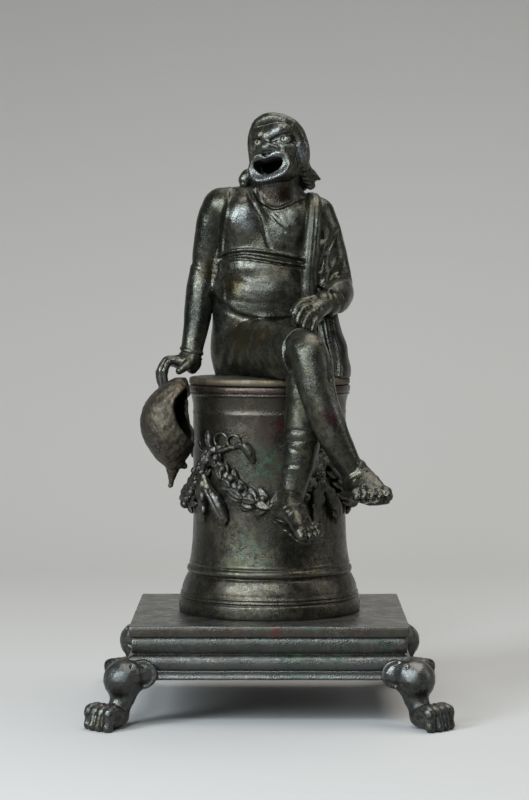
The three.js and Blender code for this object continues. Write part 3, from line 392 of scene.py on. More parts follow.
# Every ring has the same count of points, so that the skin between them is even.
outer = rectangle_ring(PLINTH_X, PLINTH_Y, PLINTH_CORNER, PLINTH_STEP)
plinth_points = []
for offset, height in plinth_profile:
    shrink_x = (PLINTH_X + offset) / PLINTH_X
    shrink_y = (PLINTH_Y + offset) / PLINTH_Y
    ring = [Vector((x * shrink_x, y * shrink_y, height)) for x, y in outer]
    plinth_points += [unevenness(point, PLINTH_KNOCKS, PLINTH_WAVE) * MM for point in ring]
plinth_faces = ring_faces(len(plinth_profile), len(outer))
plinth = make_object("moulded_plinth", plinth_points, plinth_faces, plinth_bronze)
close_seam(plinth)
finish_piece(plinth, "altar_base", "plinth")


# Lion's paws
# Four solid castings soldered under the plinth's corners, modelled in wax: a round haunch, a thin ankle,
# four knuckled toes, and a wing on either face of the plinth that ends in a volute.
# Fields are kept up to FAR outside a shape, and a shape is laid within REACH of its box. The sides of a grid
# count as GRID_SIDE outside the metal, so that every skin closes.
FAR = 9.0
REACH = 3
GRID_SIDE = 0.05
HEM_EDGE = 0.2


def through(places, values, at):
    """Smooth curve through values at places, which doesn't overshoot where two values are alike."""
    slopes = np.gradient(values, places)
    alike = np.flatnonzero(np.diff(values) == 0)
    slopes[alike] = 0
    slopes[alike + 1] = 0
    at = np.clip(at, places[0], places[-1])
    i = np.clip(np.searchsorted(places, at) - 1, 0, len(places) - 2)
    width = (places[1:] - places[:-1])[i]
    t = (at - places[i]) / width
    return ((2 * t ** 3 - 3 * t ** 2 + 1) * values[i] + (t ** 3 - 2 * t ** 2 + t) * width * slopes[i]
            + (3 * t ** 2 - 2 * t ** 3) * values[i + 1] + (t ** 3 - t ** 2) * width * slopes[i + 1])


def smooth_path(points, step=1.5):
    """More points on a smooth curve through points. Further columns, such as radii, follow along."""
    points = np.asarray(points, float)
    axes = min(3, points.shape[1])
    along = np.concatenate([[0], np.cumsum(np.linalg.norm(np.diff(points[:, :axes], axis=0), axis=1))])
    if len(points) == 2:
        return points
    at = np.linspace(0, along[-1], max(3, int(along[-1] / step) + 1))
    return np.stack([through(along, points[:, i], at) for i in range(points.shape[1])], axis=1)


def limb(points, stretch=(1, 1, 1), step=1.5):
    """Round limb through [x, y, z, radius], wider by the stretch along each axis."""
    line = smooth_path(points, step)
    stretch = np.array(stretch, float)
    reach = line[:, 3].max() * stretch
    low, high = line[:, :3].min(axis=0) - reach, line[:, :3].max(axis=0) + reach
    places = line[:, :3] / stretch

    def away(*grid):
        x, y, z = (grid[i] / stretch[i] for i in range(3))
        nearest = None
        for (ax, ay, az), (bx, by, bz), ar, br in zip(places[:-1], places[1:], line[:-1, 3], line[1:, 3]):
            dx, dy, dz = bx - ax, by - ay, bz - az
            length = max(dx * dx + dy * dy + dz * dz, 1e-9)
            h = np.clip(((x - ax) * dx + (y - ay) * dy + (z - az) * dz) / length, 0, 1)
            d = np.sqrt((x - ax - h * dx) ** 2 + (y - ay - h * dy) ** 2 + (z - az - h * dz) ** 2)
            d = d - (ar + h * (br - ar))
            nearest = d if nearest is None else np.minimum(nearest, d)
        return nearest

    return low, high, away


def ball(centre, radii):
    centre, radii = np.array(centre, float), np.array(radii, float)

    def away(x, y, z):
        px, py, pz = (x - centre[0]) / radii[0], (y - centre[1]) / radii[1], (z - centre[2]) / radii[2]
        k = np.sqrt(px * px + py * py + pz * pz) + 1e-6
        steep = np.sqrt((px / radii[0]) ** 2 + (py / radii[1]) ** 2 + (pz / radii[2]) ** 2) + 1e-6
        return k * (k - 1) / steep

    return centre - radii, centre + radii, away


def stack(sections):
    """Smooth loft through level ellipses [height, centre x, centre y, half width, half depth]."""
    sections = np.asarray(sections, float)
    heights = sections[:, 0]
    wide, deep = sections[:, 3].max(), sections[:, 4].max()
    low = np.array((sections[:, 1].min() - wide, sections[:, 2].min() - deep, heights[0]))
    high = np.array((sections[:, 1].max() + wide, sections[:, 2].max() + deep, heights[-1]))

    def away(x, y, z):
        cx, cy, a, b = (through(heights, sections[:, i], z) for i in range(1, 5))
        px, py = (x - cx) / a, (y - cy) / b
        k = np.sqrt(px * px + py * py) + 1e-6
        side = k * (k - 1) / (np.sqrt((px / a) ** 2 + (py / b) ** 2) + 1e-6)
        return np.maximum(side, np.abs(z - (heights[0] + heights[-1]) / 2) - (heights[-1] - heights[0]) / 2)

    return low, high, away


def cropped(shape, point, out):
    """The part of a shape that lies behind a plane through point, whose face looks along out."""
    low, high, away = shape
    out = np.array(out, float) / np.linalg.norm(out)
    level = float(np.dot(out, point))
    return low, high, lambda x, y, z: np.maximum(away(x, y, z), out[0] * x + out[1] * y + out[2] * z - level)


def soft_least(one, other, blend):
    """The lesser of two fields, with a fillet of about the blend's size where they meet."""
    if blend <= 0:
        return np.minimum(one, other)
    h = np.clip(0.5 + 0.5 * (other - one) / blend, 0, 1)
    return other * (1 - h) + one * h - blend * h * (1 - h)


def path_distance(line, grid):
    """Distance to a path, and the side of it: 1 on the left in the plane of the first two axes."""
    nearest, side = None, None
    for start, end in zip(line[:-1], line[1:]):
        along = end - start
        length = max(float(along @ along), 1e-9)
        h = np.clip(sum((grid[i] - start[i]) * along[i] for i in range(len(grid))) / length, 0, 1)
        d = sum((grid[i] - start[i] - h * along[i]) ** 2 for i in range(len(grid)))
        turn = np.sign((grid[1] - start[1]) * along[0] - (grid[0] - start[0]) * along[1])
        side = turn if side is None else np.where(d < nearest, turn, side)
        nearest = d if nearest is None else np.minimum(nearest, d)
    return np.sqrt(nearest), side


class Clay:
    """Wax on a grid of cells, sized in millimetres. Its field is below 0 inside the metal and above 0
    outside. Grids with the same cell line up, so that one piece can be laid on another."""

    def __init__(self, low, high, cell):
        self.cell = cell
        self.first = np.floor(np.array(low) / cell).astype(int)
        self.count = np.ceil(np.array(high) / cell).astype(int) - self.first + 1
        self.axes = [cell * (self.first[i] + np.arange(self.count[i])) for i in range(3)]
        self.field = np.full(self.count, FAR, np.float32)

    def window(self, low, high):
        """Index ranges that cover a box, and the coordinates there."""
        starts = np.clip(np.floor(np.asarray(low) / self.cell).astype(int) - self.first, 0, self.count)
        ends = np.clip(np.ceil(np.asarray(high) / self.cell).astype(int) - self.first + 1, 0, self.count)
        spans = tuple(slice(start, end) for start, end in zip(starts, ends))
        axes = [axis[span] for axis, span in zip(self.axes, spans)]
        return spans, np.meshgrid(*axes, indexing="ij", sparse=True)

    def add(self, shape, blend=0.0):
        low, high, away = shape
        spans, grid = self.window(low - REACH - blend, high + REACH + blend)
        self.field[spans] = soft_least(self.field[spans], np.minimum(away(*grid), FAR), blend)

    def cut(self, shape, blend=0.0):
        low, high, away = shape
        spans, grid = self.window(low - REACH - blend, high + REACH + blend)
        self.field[spans] = -soft_least(-self.field[spans], away(*grid), blend)

    def shared(self, other):
        """Index ranges of the room that two grids share, in each of them."""
        low = np.maximum(self.first, other.first)
        high = np.maximum(np.minimum(self.first + self.count, other.first + other.count), low)
        return (tuple(slice(a, b) for a, b in zip(low - self.first, high - self.first)),
                tuple(slice(a, b) for a, b in zip(low - other.first, high - other.first)))

    def lay(self, other, blend):
        here, there = self.shared(other)
        self.field[here] = soft_least(self.field[here], other.field[there], blend)

    def part(self, own, others):
        """The share of this body that grew from one piece. It dives under the skin where others begin."""
        made = Clay((0, 0, 0), (0, 0, 0), self.cell)
        made.first, made.count, made.axes = own.first, own.count, own.axes
        rest = np.full(own.count, FAR, np.float32)
        for other in others:
            if other is not own:
                here, there = own.shared(other)
                rest[here] = np.minimum(rest[here], other.field[there])
        here, there = own.shared(self)
        made.field = np.full(own.count, FAR, np.float32)
        made.field[here] = self.field[there]
        made.field += np.clip(own.field - rest, 0, 4)
        return made

    def crease(self, points, width, depth):
        """Presses a groove along points in space. A negative depth raises a ridge."""
        line = smooth_path(points, 1.0)
        spans, grid = self.window(line.min(axis=0) - 3 * width, line.max(axis=0) + 3 * width)
        self.field[spans] += depth * np.exp(-(path_distance(line, grid)[0] / width) ** 2)

    def front(self, points, reach, before):
        """What lies near a path [x, z] drawn on the front: its index ranges, how far it is from the path, the
        side of it, and a divisor that is 1 before the given y and grows large behind it."""
        line = smooth_path(points, 1.0)
        low, high = line.min(axis=0) - reach, line.max(axis=0) + reach
        spans, (x, y, z) = self.window((low[0], self.axes[1][0], low[1]), (high[0], before + 4, high[1]))
        near, side = path_distance(line, (x, z))
        return spans, near, side, 1 + np.exp(np.clip((y - before) * 1.5, -30, 30))

    def stroke(self, points, width, depth, before):
        """Presses a groove along a path on the front, into what lies before the given y."""
        spans, near, _, fading = self.front(points, 3 * width, before)
        self.field[spans] += depth * np.exp(-(near / width) ** 2) / fading

    def hem(self, points, width, height, before):
        """Lays a sheet of cloth on the left of a path on the front: a step that fades away."""
        spans, near, side, fading = self.front(points, 2.5 * width, before)
        along = near * side
        rise = np.exp(-np.maximum(along, 0) / width) / (1 + np.exp(np.clip(-along / HEM_EDGE, -30, 30)))
        self.field[spans] -= height * rise / fading

    def swell(self, amount, size):
        """Unevenness of a hand-worked surface, in swells of about the given size."""
        x, y, z = np.meshgrid(*self.axes, indexing="ij", sparse=True)
        f = 2 * math.pi / size
        broad = np.sin(f * (x + 0.7 * y)) * np.sin(f * (0.8 * z + 0.3 * x) + 1)
        fine = np.sin(1.7 * f * (y - 0.5 * z) + 2) * np.sin(1.6 * f * (x + 0.4 * z))
        self.field += amount * (broad + 0.6 * fine)

    def skinned(self, name, material, place):
        """Mesh object of the surface, placed by a matrix in millimetres or by a function of points."""
        field = self.field.copy()
        for axis in range(3):
            for side in (0, -1):
                end = [slice(None)] * 3
                end[axis] = side
                field[tuple(end)] = np.maximum(field[tuple(end)], GRID_SIDE)
        grid = openvdb.FloatGrid(FAR)
        grid.copyFromArray(field)
        points, _, quads = grid.convertToPolygons(isovalue=0.0, adaptivity=0.0)
        points = (self.first + points) * self.cell
        corners = points[quads]
        facing = np.cross(corners[:, 1] - corners[:, 0], corners[:, 2] - corners[:, 0])
        if np.einsum("ij,ij->", corners[:, 0], facing) < 0:
            quads = quads[:, ::-1]
        if callable(place):
            points = place(points)
        else:
            turn = np.array(place)
            points = points @ turn[:3, :3].T + turn[:3, 3]
        return make_object(name, points * MM, quads.tolist(), material)


PAW_WAX = 0.3
TOE_SPACING = 3.5
DIAGONAL = math.sqrt(0.5)


def model_paw():
    """In its own frame the plinth's corner is at the origin and +X goes out along the diagonal."""
    paw = Clay((-15, -16, 0), (23, 16, 30), PAW_WAX)
    haunch_top = PLINTH_FOOT + 7.6
    paw.add(limb([(1.8, 0, haunch_top - 5.8, 6.6), (2.2, 0, PLINTH_FOOT + 1.5, 7.2), (2.6, 0, 14.6, 5.7),
                  (2.8, 0, 11.4, 4.5)]))
    paw.add(limb([(2.8, 0, 12.2, 4.5), (4.4, 0, 8.4, 4.3), (6.4, 0, 4.6, 4.3)]), 1.2)
    paw.add(limb([(6.4, 0, 4.2, 4.3), (9.6, 0, 4.4, 4.9), (12.8, 0, 3.8, 4.3)], stretch=(1, 1.15, 0.9)), 1.4)
    for place in (-1.5, -0.5, 0.5, 1.5):
        side = place * TOE_SPACING
        front = 18.6 - 0.9 * abs(place)
        paw.add(limb([(8.4, side * 0.75, 6.2, 1.9), (12.0, side * 0.95, 7.5, 2.3), (14.6, side, 6.2, 2.3),
                      (front - 2.4, side, 3.8, 1.9), (front - 2.0, side, 1.6, 2.0)], step=1.0), 0.8)
        paw.add(ball((14.2, side, 6.9), (2.6, 2.3, 2.3)), 0.6)
        paw.add(limb([(front - 1.6, side, 3.6, 0.8), (front - 0.3, side, 2.0, 0.45)]), 0.3)
    for place in (-1, 0, 1):
        side = place * TOE_SPACING
        paw.crease([(9.2, side * 0.85, 8.6), (13.4, side, 8.2), (16.8, side, 5.0), (17.4, side, 0)], 0.5, 0.6)
    for hand in (-1, 1):
        along = np.array((-DIAGONAL, hand * DIAGONAL))
        proud = np.array((DIAGONAL, hand * DIAGONAL))
        root = proud * 3.4 + along * 1.5
        eye = along * 5.2 + proud * 0.8
        eye_height = PLINTH_FOOT + 2.6
        middle = (root + eye) / 2
        paw.add(limb([
            (*root, eye_height + 1.0, 3.8), (*middle, eye_height + 0.8, 3.0),
            (*eye, eye_height, 3.2)]), 1.6)
        face = eye + proud * 1.7
        paw.add(cropped(ball((*eye, eye_height), (5.6, 5.6, 5.6)), (*face, eye_height), (*proud, 0)), 1.3)
        for radius, depth in ((3.8, 0.35), (2.1, 0.4)):
            ring = [(*(face + along * radius * math.cos(t)), eye_height + radius * math.sin(t))
                    for t in np.linspace(0.3, 2 * math.pi - 0.1, 22)]
            paw.crease(ring, 0.42, depth)
        paw.add(ball((*(face - proud * 0.3), eye_height), (0.9, 0.9, 0.9)), 0.3)
        slit = proud * 6.3 + along * 1.2
        slit_line = [(*(slit + along), eye_height + 6), (*slit, eye_height + 2.5),
                     (*(slit - along * 0.6), eye_height - 2)]
        paw.crease(slit_line, 0.55, 1.2)
    paw.swell(0.07, 6)
    # The plinth's corner is left free, and the soles are rubbed flat on the ground.
    x, y, z = np.meshgrid(*paw.axes, indexing="ij", sparse=True)
    across, other = (x + y) * DIAGONAL, (x - y) * DIAGONAL
    corner = np.maximum(np.maximum(across, other) + 0.2, PLINTH_FOOT + 0.2 - z)
    paw.field = np.maximum(paw.field, -corner)
    paw.field = np.maximum(paw.field, 0.02 - z).astype(np.float32)
    return paw


paw_clay = model_paw()
for corner_name, sx, sy, turn in (("back_right", 1, 1, 45), ("back_left", -1, 1, 135),
                                  ("front_left", -1, -1, 225), ("front_right", 1, -1, 315)):
    corner = Matrix.Translation((sx * PLINTH_X, sy * PLINTH_Y, 0))
    place = corner @ Matrix.Rotation(math.radians(turn), 4, "Z")
    paw = paw_clay.skinned("lion_" + corner_name, plinth_bronze, place)
    finish_piece(paw, "altar_base", "paw_" + corner_name)


# Altar drum
# A turned bronze tube: base band, fine beads, a swelling moulding and a roll at the foot; under the mouth
# a fine bead, a hollow, a fillet and the rim band. A ledge inside carries the fire pan.
TURNED_WAVE = 9.0


def turned(name, profile, material, knocks, segments=224):
    """Skin of revolution of a closed profile of (radius, height), which goes up its outside first."""
    points, faces = [], []
    for j in range(segments):
        angle = 2 * math.pi * j / segments
        for radius, height in profile:
            bare = Vector((radius * math.sin(angle), -radius * math.cos(angle), height))
            points.append(unevenness(bare, knocks * min(1.0, radius), TURNED_WAVE) * MM)
    count = len(profile)
    for j in range(segments):
        here, there = j * count, ((j + 1) % segments) * count
        faces += [(here + i, there + i, there + (i + 1) % count, here + (i + 1) % count)
                  for i in range(count)]
    made = make_object(name, points, faces, material)
    close_seam(made)
    return made


drum_low, drum_high = box_in_mm("altar_drum")
ALTAR_TOP = drum_high.z
FOOT_RADIUS = (drum_high.x - drum_low.x) / 2
SHAFT_RADIUS = 30.0
RIM_RADIUS = 31.7
MOUTH_RADIUS = 28.6
BORE_RADIUS = 26.4
LEDGE_DEPTH = 14.0
altar_bronze = patina(
    "altar_bronze", (0.07, 0.062, 0.046), (0.036, 0.032, 0.025), (0.18, 0.34), green=0.5, red=0.6,
    stains_and_shade=(
        (10, -30, 66, 12, (0.02, 0.019, 0.014)), (-17, -26, 82, 9, (0.02, 0.018, 0.015)),
        (0, -30, 109, 9, (0.03, 0.021, 0.017)), (5, -30, 112, 4, (0.045, 0.016, 0.014)),
        (-14, -30, 57, 7, (0.03, 0.03, 0.016))),
    spots=((-4, -30, 97, 10, 1), (3, -30, 98, 7, 1), (-8, -30, 66, 9, 0.8), (-3, -30, 58, 6, 0.8)),
    bands=(
        (ALTAR_TOP - 3, ALTAR_TOP + 1, (0.045, 0.02, 0.017), 0.7),
        (ALTAR_TOP - 16, ALTAR_TOP - 3.4, (0.055, 0.045, 0.036), 0.5)))
drum_profile = [
    (BORE_RADIUS, PLINTH_TOP + 0.05),
    *stepped(FOOT_RADIUS, PLINTH_TOP, [
        (-0.5, 0.05), (-0.1, 0.4), (0, 1.5), (0, 4.6), (-0.2, 5.2), (-1.0, 5.5), (-1.0, 5.8), (-0.5, 6.1),
        (-0.5, 6.6), (-1.1, 6.9), (-1.1, 7.2), (-0.7, 7.5), (-0.8, 7.9), (-1.3, 8.3),
        *((-1.25 - 2.3 * t ** 1.6, 8.6 + 6.2 * t) for t in (0.1, 0.25, 0.4, 0.55, 0.7, 0.85, 1)),
        (-4.2, 15.0), (-4.2, 15.4), (-3.5, 15.8), (-3.25, 16.6), (-3.35, 17.6), (-3.9, 18.3), (-4.4, 18.6),
        (-4.4, 19.0), (-4.1, 19.4), (-4.4, 19.9)]),
    *stepped(SHAFT_RADIUS, PLINTH_TOP, [
        *((1.2 * (1 - t) ** 2.4, 20.5 + 18 * t) for t in (0, 0.15, 0.3, 0.5, 0.75, 1)),
        *((0, 38.5 + 5 * i) for i in range(1, 8))]),
    *stepped(SHAFT_RADIUS, ALTAR_TOP, [
        (0, -11.6), (0.12, -11.2), (0.2, -10.7), (0.12, -10.2), (0, -9.9),
        *((0.9 * t ** 2, 5.8 * t - 9.7) for t in (0.15, 0.35, 0.55, 0.75, 0.9, 1))]),
    *stepped(RIM_RADIUS, ALTAR_TOP, [
        (-0.35, -3.6), (-0.1, -3.3), (-0.35, -2.95), (-0.7, -2.8), (-0.15, -2.5), (0, -2.0), (0, -0.6),
        (-0.25, -0.1), (-0.7, -0.02)]),
    *stepped(MOUTH_RADIUS, ALTAR_TOP, [(0.2, -0.02), (0, -0.3), (0, 0.1 - LEDGE_DEPTH)]),
    (BORE_RADIUS, ALTAR_TOP - LEDGE_DEPTH)]
drum = turned("altar_tube", drum_profile, altar_bronze, knocks=0.1)
finish_piece(drum, "altar_base", "altar_drum")


# Ribbon bows
# Four bows soldered on the shaft between the garlands' ends, each a knot with two round loops, a curled
# end, a leaf and two hanging tails. One is modelled flat in wax and bent on to the drum at each corner.
KNOT_HEIGHT = ALTAR_TOP - 24.6
BOW_WAX = 0.25
relief_bronze = patina(
    "relief_bronze", (0.07, 0.067, 0.058), (0.045, 0.042, 0.036), (0.22, 0.4), green=0.25, red=0.15)


def model_bow():
    """In its own frame +X runs round the drum, -Y out of it and +Z up, with the knot at the origin."""
    bow = Clay((-13, -6, -33), (21, 1.6, 12), BOW_WAX)
    for middle_x, middle_z, half_x, half_z in ((4.0, 4.2, 3.0, 2.7), (9.6, 3.9, 2.7, 2.4)):
        ring = [(middle_x + half_x * math.cos(t), -0.5 - 0.3 * math.sin(t / 2),
                 middle_z + half_z * math.sin(t), 0.55)
                for t in np.linspace(0, 2 * math.pi, 25)]
        bow.add(limb(ring), 0.3)
    for strand in (
            [(0, -0.9, 0, 1.1), (1.6, -0.9, 1.2, 0.9), (3.4, -0.8, 1.5, 0.8)],
            [(0.6, -0.9, -0.4, 1.1), (5, -1.0, 0.2, 1.1), (8.6, -0.9, 1.4, 0.9)],
            [(9.6, -0.7, 1.4, 0.9), (11.8, -0.9, 2.6, 1.0), (14.0, -0.9, 2.2, 1.7), (16.2, -0.8, -0.6, 1.9),
             (17.4, -0.5, -3.8, 1.0)],
            [(-9, -0.6, 3.0, 0.6), (-7.4, -0.7, 0.8, 0.7), (-5.2, -0.8, 0.0, 0.8), (-2.6, -0.9, 0.3, 1.0),
             (0, -1.0, 0, 1.1)],
            [(-0.6, -1.2, 0.6, 0.8), (-1.6, -1.2, 3.2, 1.5), (-2.1, -1.1, 5.2, 1.3),
             (-2.6, -0.8, 7.2, 0.5)],
            [(-0.6, -1.6, -1, 1.2), (-2.8, -2.6, -5, 1.2), (-4.4, -2.2, -9.6, 1.4), (-5.0, -1.8, -13, 2.3),
             (-5.0, -1.7, -18, 2.2), (-5.3, -1.2, -23, 1.5), (-5.4, -1.0, -27.5, 0.8)],
            [(-3.4, -2.2, -10, 1.4), (-1.2, -2.2, -14.6, 1.8), (1.6, -2.0, -18, 2.2),
             (4.0, -1.7, -21.6, 2.4), (5.6, -1.3, -25.4, 1.7), (5.8, -1.0, -28.4, 0.6)]):
        bow.add(limb(strand), 0.4)
    # The tails end in bunches of small leaves and fruit.
    for x, y, z, radius in (
            (-3.2, -3.2, -13.6, 1.7), (-6.6, -2.2, -15.4, 1.3), (-3.8, -2.8, -18.4, 1.4),
            (-6.4, -1.6, -20.6, 1.2), (-4.2, -1.8, -23.2, 1.3), (0.8, -3.0, -16.4, 1.5),
            (3.6, -2.6, -18.6, 1.3), (2.2, -2.6, -21.2, 1.4), (5.6, -2.0, -22.6, 1.3),
            (3.6, -1.8, -24.8, 1.2), (6.6, -1.2, -26.2, 1.0)):
        bow.add(ball((x, y, z), np.array((0.9, 0.8, 1.35)) * radius), 0.25)
    bow.add(ball((0, -1.4, 0), (2.0, 1.5, 1.7)), 0.5)
    bow.crease([(-1.0, -2.4, 2), (-1.8, -2.4, 4.6), (-2.4, -2.0, 6.6)], 0.35, 0.4)
    bow.crease([(0.6, -3.2, 1), (0.2, -3.0, -1.4)], 0.4, 0.4)
    bow.crease([(10.4, -1.8, 1.8), (14, -2.1, 2.2), (16.2, -1.9, -0.4)], 0.4, 0.35)
    bow.crease([(-5.2, -4.0, -12), (-5.0, -3.8, -18), (-5.3, -2.6, -24)], 0.4, 0.6)
    bow.crease([(-0.4, -4.0, -15), (2.8, -4.0, -20), (5.2, -3.0, -25)], 0.4, 0.6)
    bow.swell(0.06, 4)
    return bow


def bent_on(middle):
    """Bends flat points on to the shaft, round the angle in its middle."""
    def place(points):
        angle = middle + points[:, 0] / SHAFT_RADIUS
        radius = SHAFT_RADIUS + 0.2 - points[:, 1]
        return np.stack([radius * np.sin(angle), -radius * np.cos(angle), KNOT_HEIGHT + points[:, 2]], axis=1)
    return place


bow_clay = model_bow()
QUARTER = math.pi / 2
for bow_name, turn in (("front_right", 0.5), ("back_right", 1.5), ("back_left", 2.5), ("front_left", 3.5)):
    bow = bow_clay.skinned("tied_bow_" + bow_name, relief_bronze, bent_on(turn * QUARTER))
    finish_piece(bow, "altar_base", "bow_" + bow_name)


# Garlands
# Four swags of leaves and round fruit bound on a cord, cast thick and soldered to the shaft from bow to bow.
# Geometry Nodes set leaves and fruit in rows along the swag; the whole is then fused as a casting is.
GARLAND_TOP = ALTAR_TOP - 28
SWAG_SAG = 17
SWAG_END = 2.2
SWAG_STEPS = 40
SWAG_PROUD = 1.1
CASTING_CELL = 0.28
LEAF_LENGTH = 7.4
LEAF_SIDES = 8
FRUIT_RADIUS = 1.7


def leaf_and_fruit():
    """A pointed leaf with a midrib along +X, and a round fruit with its dimple at +X."""
    leaf_points = []
    stations = [(-0.5, 0.12), (-0.38, 0.55), (-0.15, 0.95), (0.1, 1), (0.32, 0.72), (0.5, 0.1)]
    for along, wide in stations:
        for j in range(LEAF_SIDES):
            turn = 2 * math.pi * j / LEAF_SIDES
            rib = 0.75 if j == 2 else 1.25 if j in (1, 3) else 1.0
            thick = 1.1 * rib * (0.35 + 0.65 * wide)
            leaf_points.append((along * LEAF_LENGTH, 1.6 * wide * math.cos(turn), thick * math.sin(turn)))
    leaf = make_object("leaf", np.array(leaf_points) * MM, ring_faces(len(stations), LEAF_SIDES))
    close_seam(leaf)
    fruit_mesh = bpy.data.meshes.new("fruit")
    work = bmesh.new()
    bmesh.ops.create_icosphere(work, subdivisions=2, radius=FRUIT_RADIUS * MM)
    for vertex in work.verts:
        vertex.co.x *= 1.25
        if vertex.co.x > 1.85 * MM:
            vertex.co.x -= 0.7 * MM
    work.to_mesh(fruit_mesh)
    work.free()
    fruit = bpy.data.objects.new("fruit", fruit_mesh)
    bpy.context.collection.objects.link(fruit)
    return leaf, fruit


def garland_tree():
    """Tree that hangs leaves and fruit on a path round the upright axis, pointing to the swag's middle."""
    tree = bpy.data.node_groups.new("garland", "GeometryNodeTree")
    Socket.tree = tree
    tree.interface.new_socket("Geometry", in_out="OUTPUT", socket_type="NodeSocketGeometry")
    for name, kind in (
            ("Geometry", "NodeSocketGeometry"), ("Leaf", "NodeSocketObject"), ("Fruit", "NodeSocketObject"),
            ("Count", "NodeSocketInt"), ("Spread", "NodeSocketFloat"), ("Cord Radius", "NodeSocketFloat"),
            ("Seed", "NodeSocketInt"), ("Bronze", "NodeSocketMaterial")):
        tree.interface.new_socket(name, in_out="INPUT", socket_type=kind)
    given = tree.nodes.new("NodeGroupInput")
    entry = {socket.name: Socket(socket) for socket in given.outputs if socket.name}
    cord = Socket.node("GeometryNodeMeshToCurve", None, 0, Mesh=entry["Geometry"])

    def fullness(share, loss):
        """1 over most of the swag, less by the loss at its ends."""
        return 1 - (share * 2 - 1).maths("POWER", 4.0) * loss

    def chance(low, high, shift):
        seed = entry["Seed"] + shift
        return Socket.node("FunctionNodeRandomValue", {"data_type": "FLOAT"}, 1, i2=low, i3=high, Seed=seed)

    share = Socket.node("GeometryNodeSplineParameter", None, "Factor")
    girth = fullness(share, 0.4)
    ring = Socket.node(
        "GeometryNodeCurvePrimitiveCircle", {"mode": "RADIUS"}, 0, i0=10, i4=entry["Cord Radius"])
    core = Socket.node(
        "GeometryNodeCurveToMesh", None, 0, Curve=cord, Profile_Curve=ring, Scale=girth, Fill_Caps=True)
    rows = [core]
    for row, (shift, lift, turn, kind) in enumerate(((-1.05, 0.1, -26, "Leaf"), (1.05, 0.1, 26, "Leaf"),
                                                     (0.7, 0.7, 16, "Leaf"), (0.1, 1, 4, "Leaf"),
                                                     (-0.65, 0.8, -12, "Fruit"))):
        beads = Socket.node("GeometryNodeResampleCurve", None, 0, Curve=cord, Count=entry["Count"])
        place = Socket.node("GeometryNodeInputPosition")
        out = Socket.vectors("NORMALIZE", Socket.vectors("MULTIPLY", place, (1, 1, 0)))
        tangent = Socket.node("GeometryNodeInputTangent")
        share = Socket.node("GeometryNodeSplineParameter", None, "Factor")
        inwards = 1 - share.maths("GREATER_THAN", 0.5) * 2
        heading = Socket.vectors("SCALE", tangent, Scale=inwards)
        across = Socket.vectors("CROSS_PRODUCT", heading, out)
        wobble = chance(-1.0, 1.0, row)
        fuller = fullness(share, 0.35)
        spread = entry["Spread"] * fuller
        sideways = Socket.vectors("SCALE", across, Scale=spread * (wobble * 0.16 + shift))
        upwards = Socket.vectors("SCALE", out, Scale=spread * lift)
        offset = Socket.vectors("ADD", sideways, upwards)
        points = Socket.node("GeometryNodeSetPosition", None, 0, Geometry=beads, Offset=offset)
        facing = Socket.node("FunctionNodeAlignRotationToVector", {"axis": "Z"}, 0, Vector=out)
        headed = Socket.node("FunctionNodeAlignRotationToVector", {"axis": "X", "pivot_axis": "Z"}, 0,
                             Rotation=facing, Vector=heading)
        tilt = chance(-0.22, 0.22, 20 + row)
        lean = Socket.node(
            "ShaderNodeCombineXYZ", None, 0, X=tilt, Y=tilt * 0.5 - 0.25, Z=tilt + math.radians(turn))
        leaned = Socket.node("FunctionNodeEulerToRotation", None, 0, Euler=lean)
        settled = Socket.node("FunctionNodeRotateRotation", {"rotation_space": "LOCAL"}, 0,
                              Rotation=headed, Rotate_By=leaned)
        size = chance(0.8, 1.12, 40 + row) * (fuller * 0.5 + 0.5)
        shape = Socket.node(
            "GeometryNodeObjectInfo", {"transform_space": "ORIGINAL"}, "Geometry", Object=entry[kind])
        rows.append(Socket.node("GeometryNodeInstanceOnPoints", None, 0,
                                Points=points, Instance=shape, Rotation=settled, Scale=size))
    join = tree.nodes.new("GeometryNodeJoinGeometry")
    for made in rows:
        tree.links.new(made.socket, join.inputs[0])
    real = Socket.node("GeometryNodeRealizeInstances", None, 0, Geometry=Socket(join.outputs[0]))
    coated = Socket.node("GeometryNodeSetMaterial", None, 0, Geometry=real, Material=entry["Bronze"])
    tree.links.new(coated.socket, tree.nodes.new("NodeGroupOutput").inputs[0])
    return tree


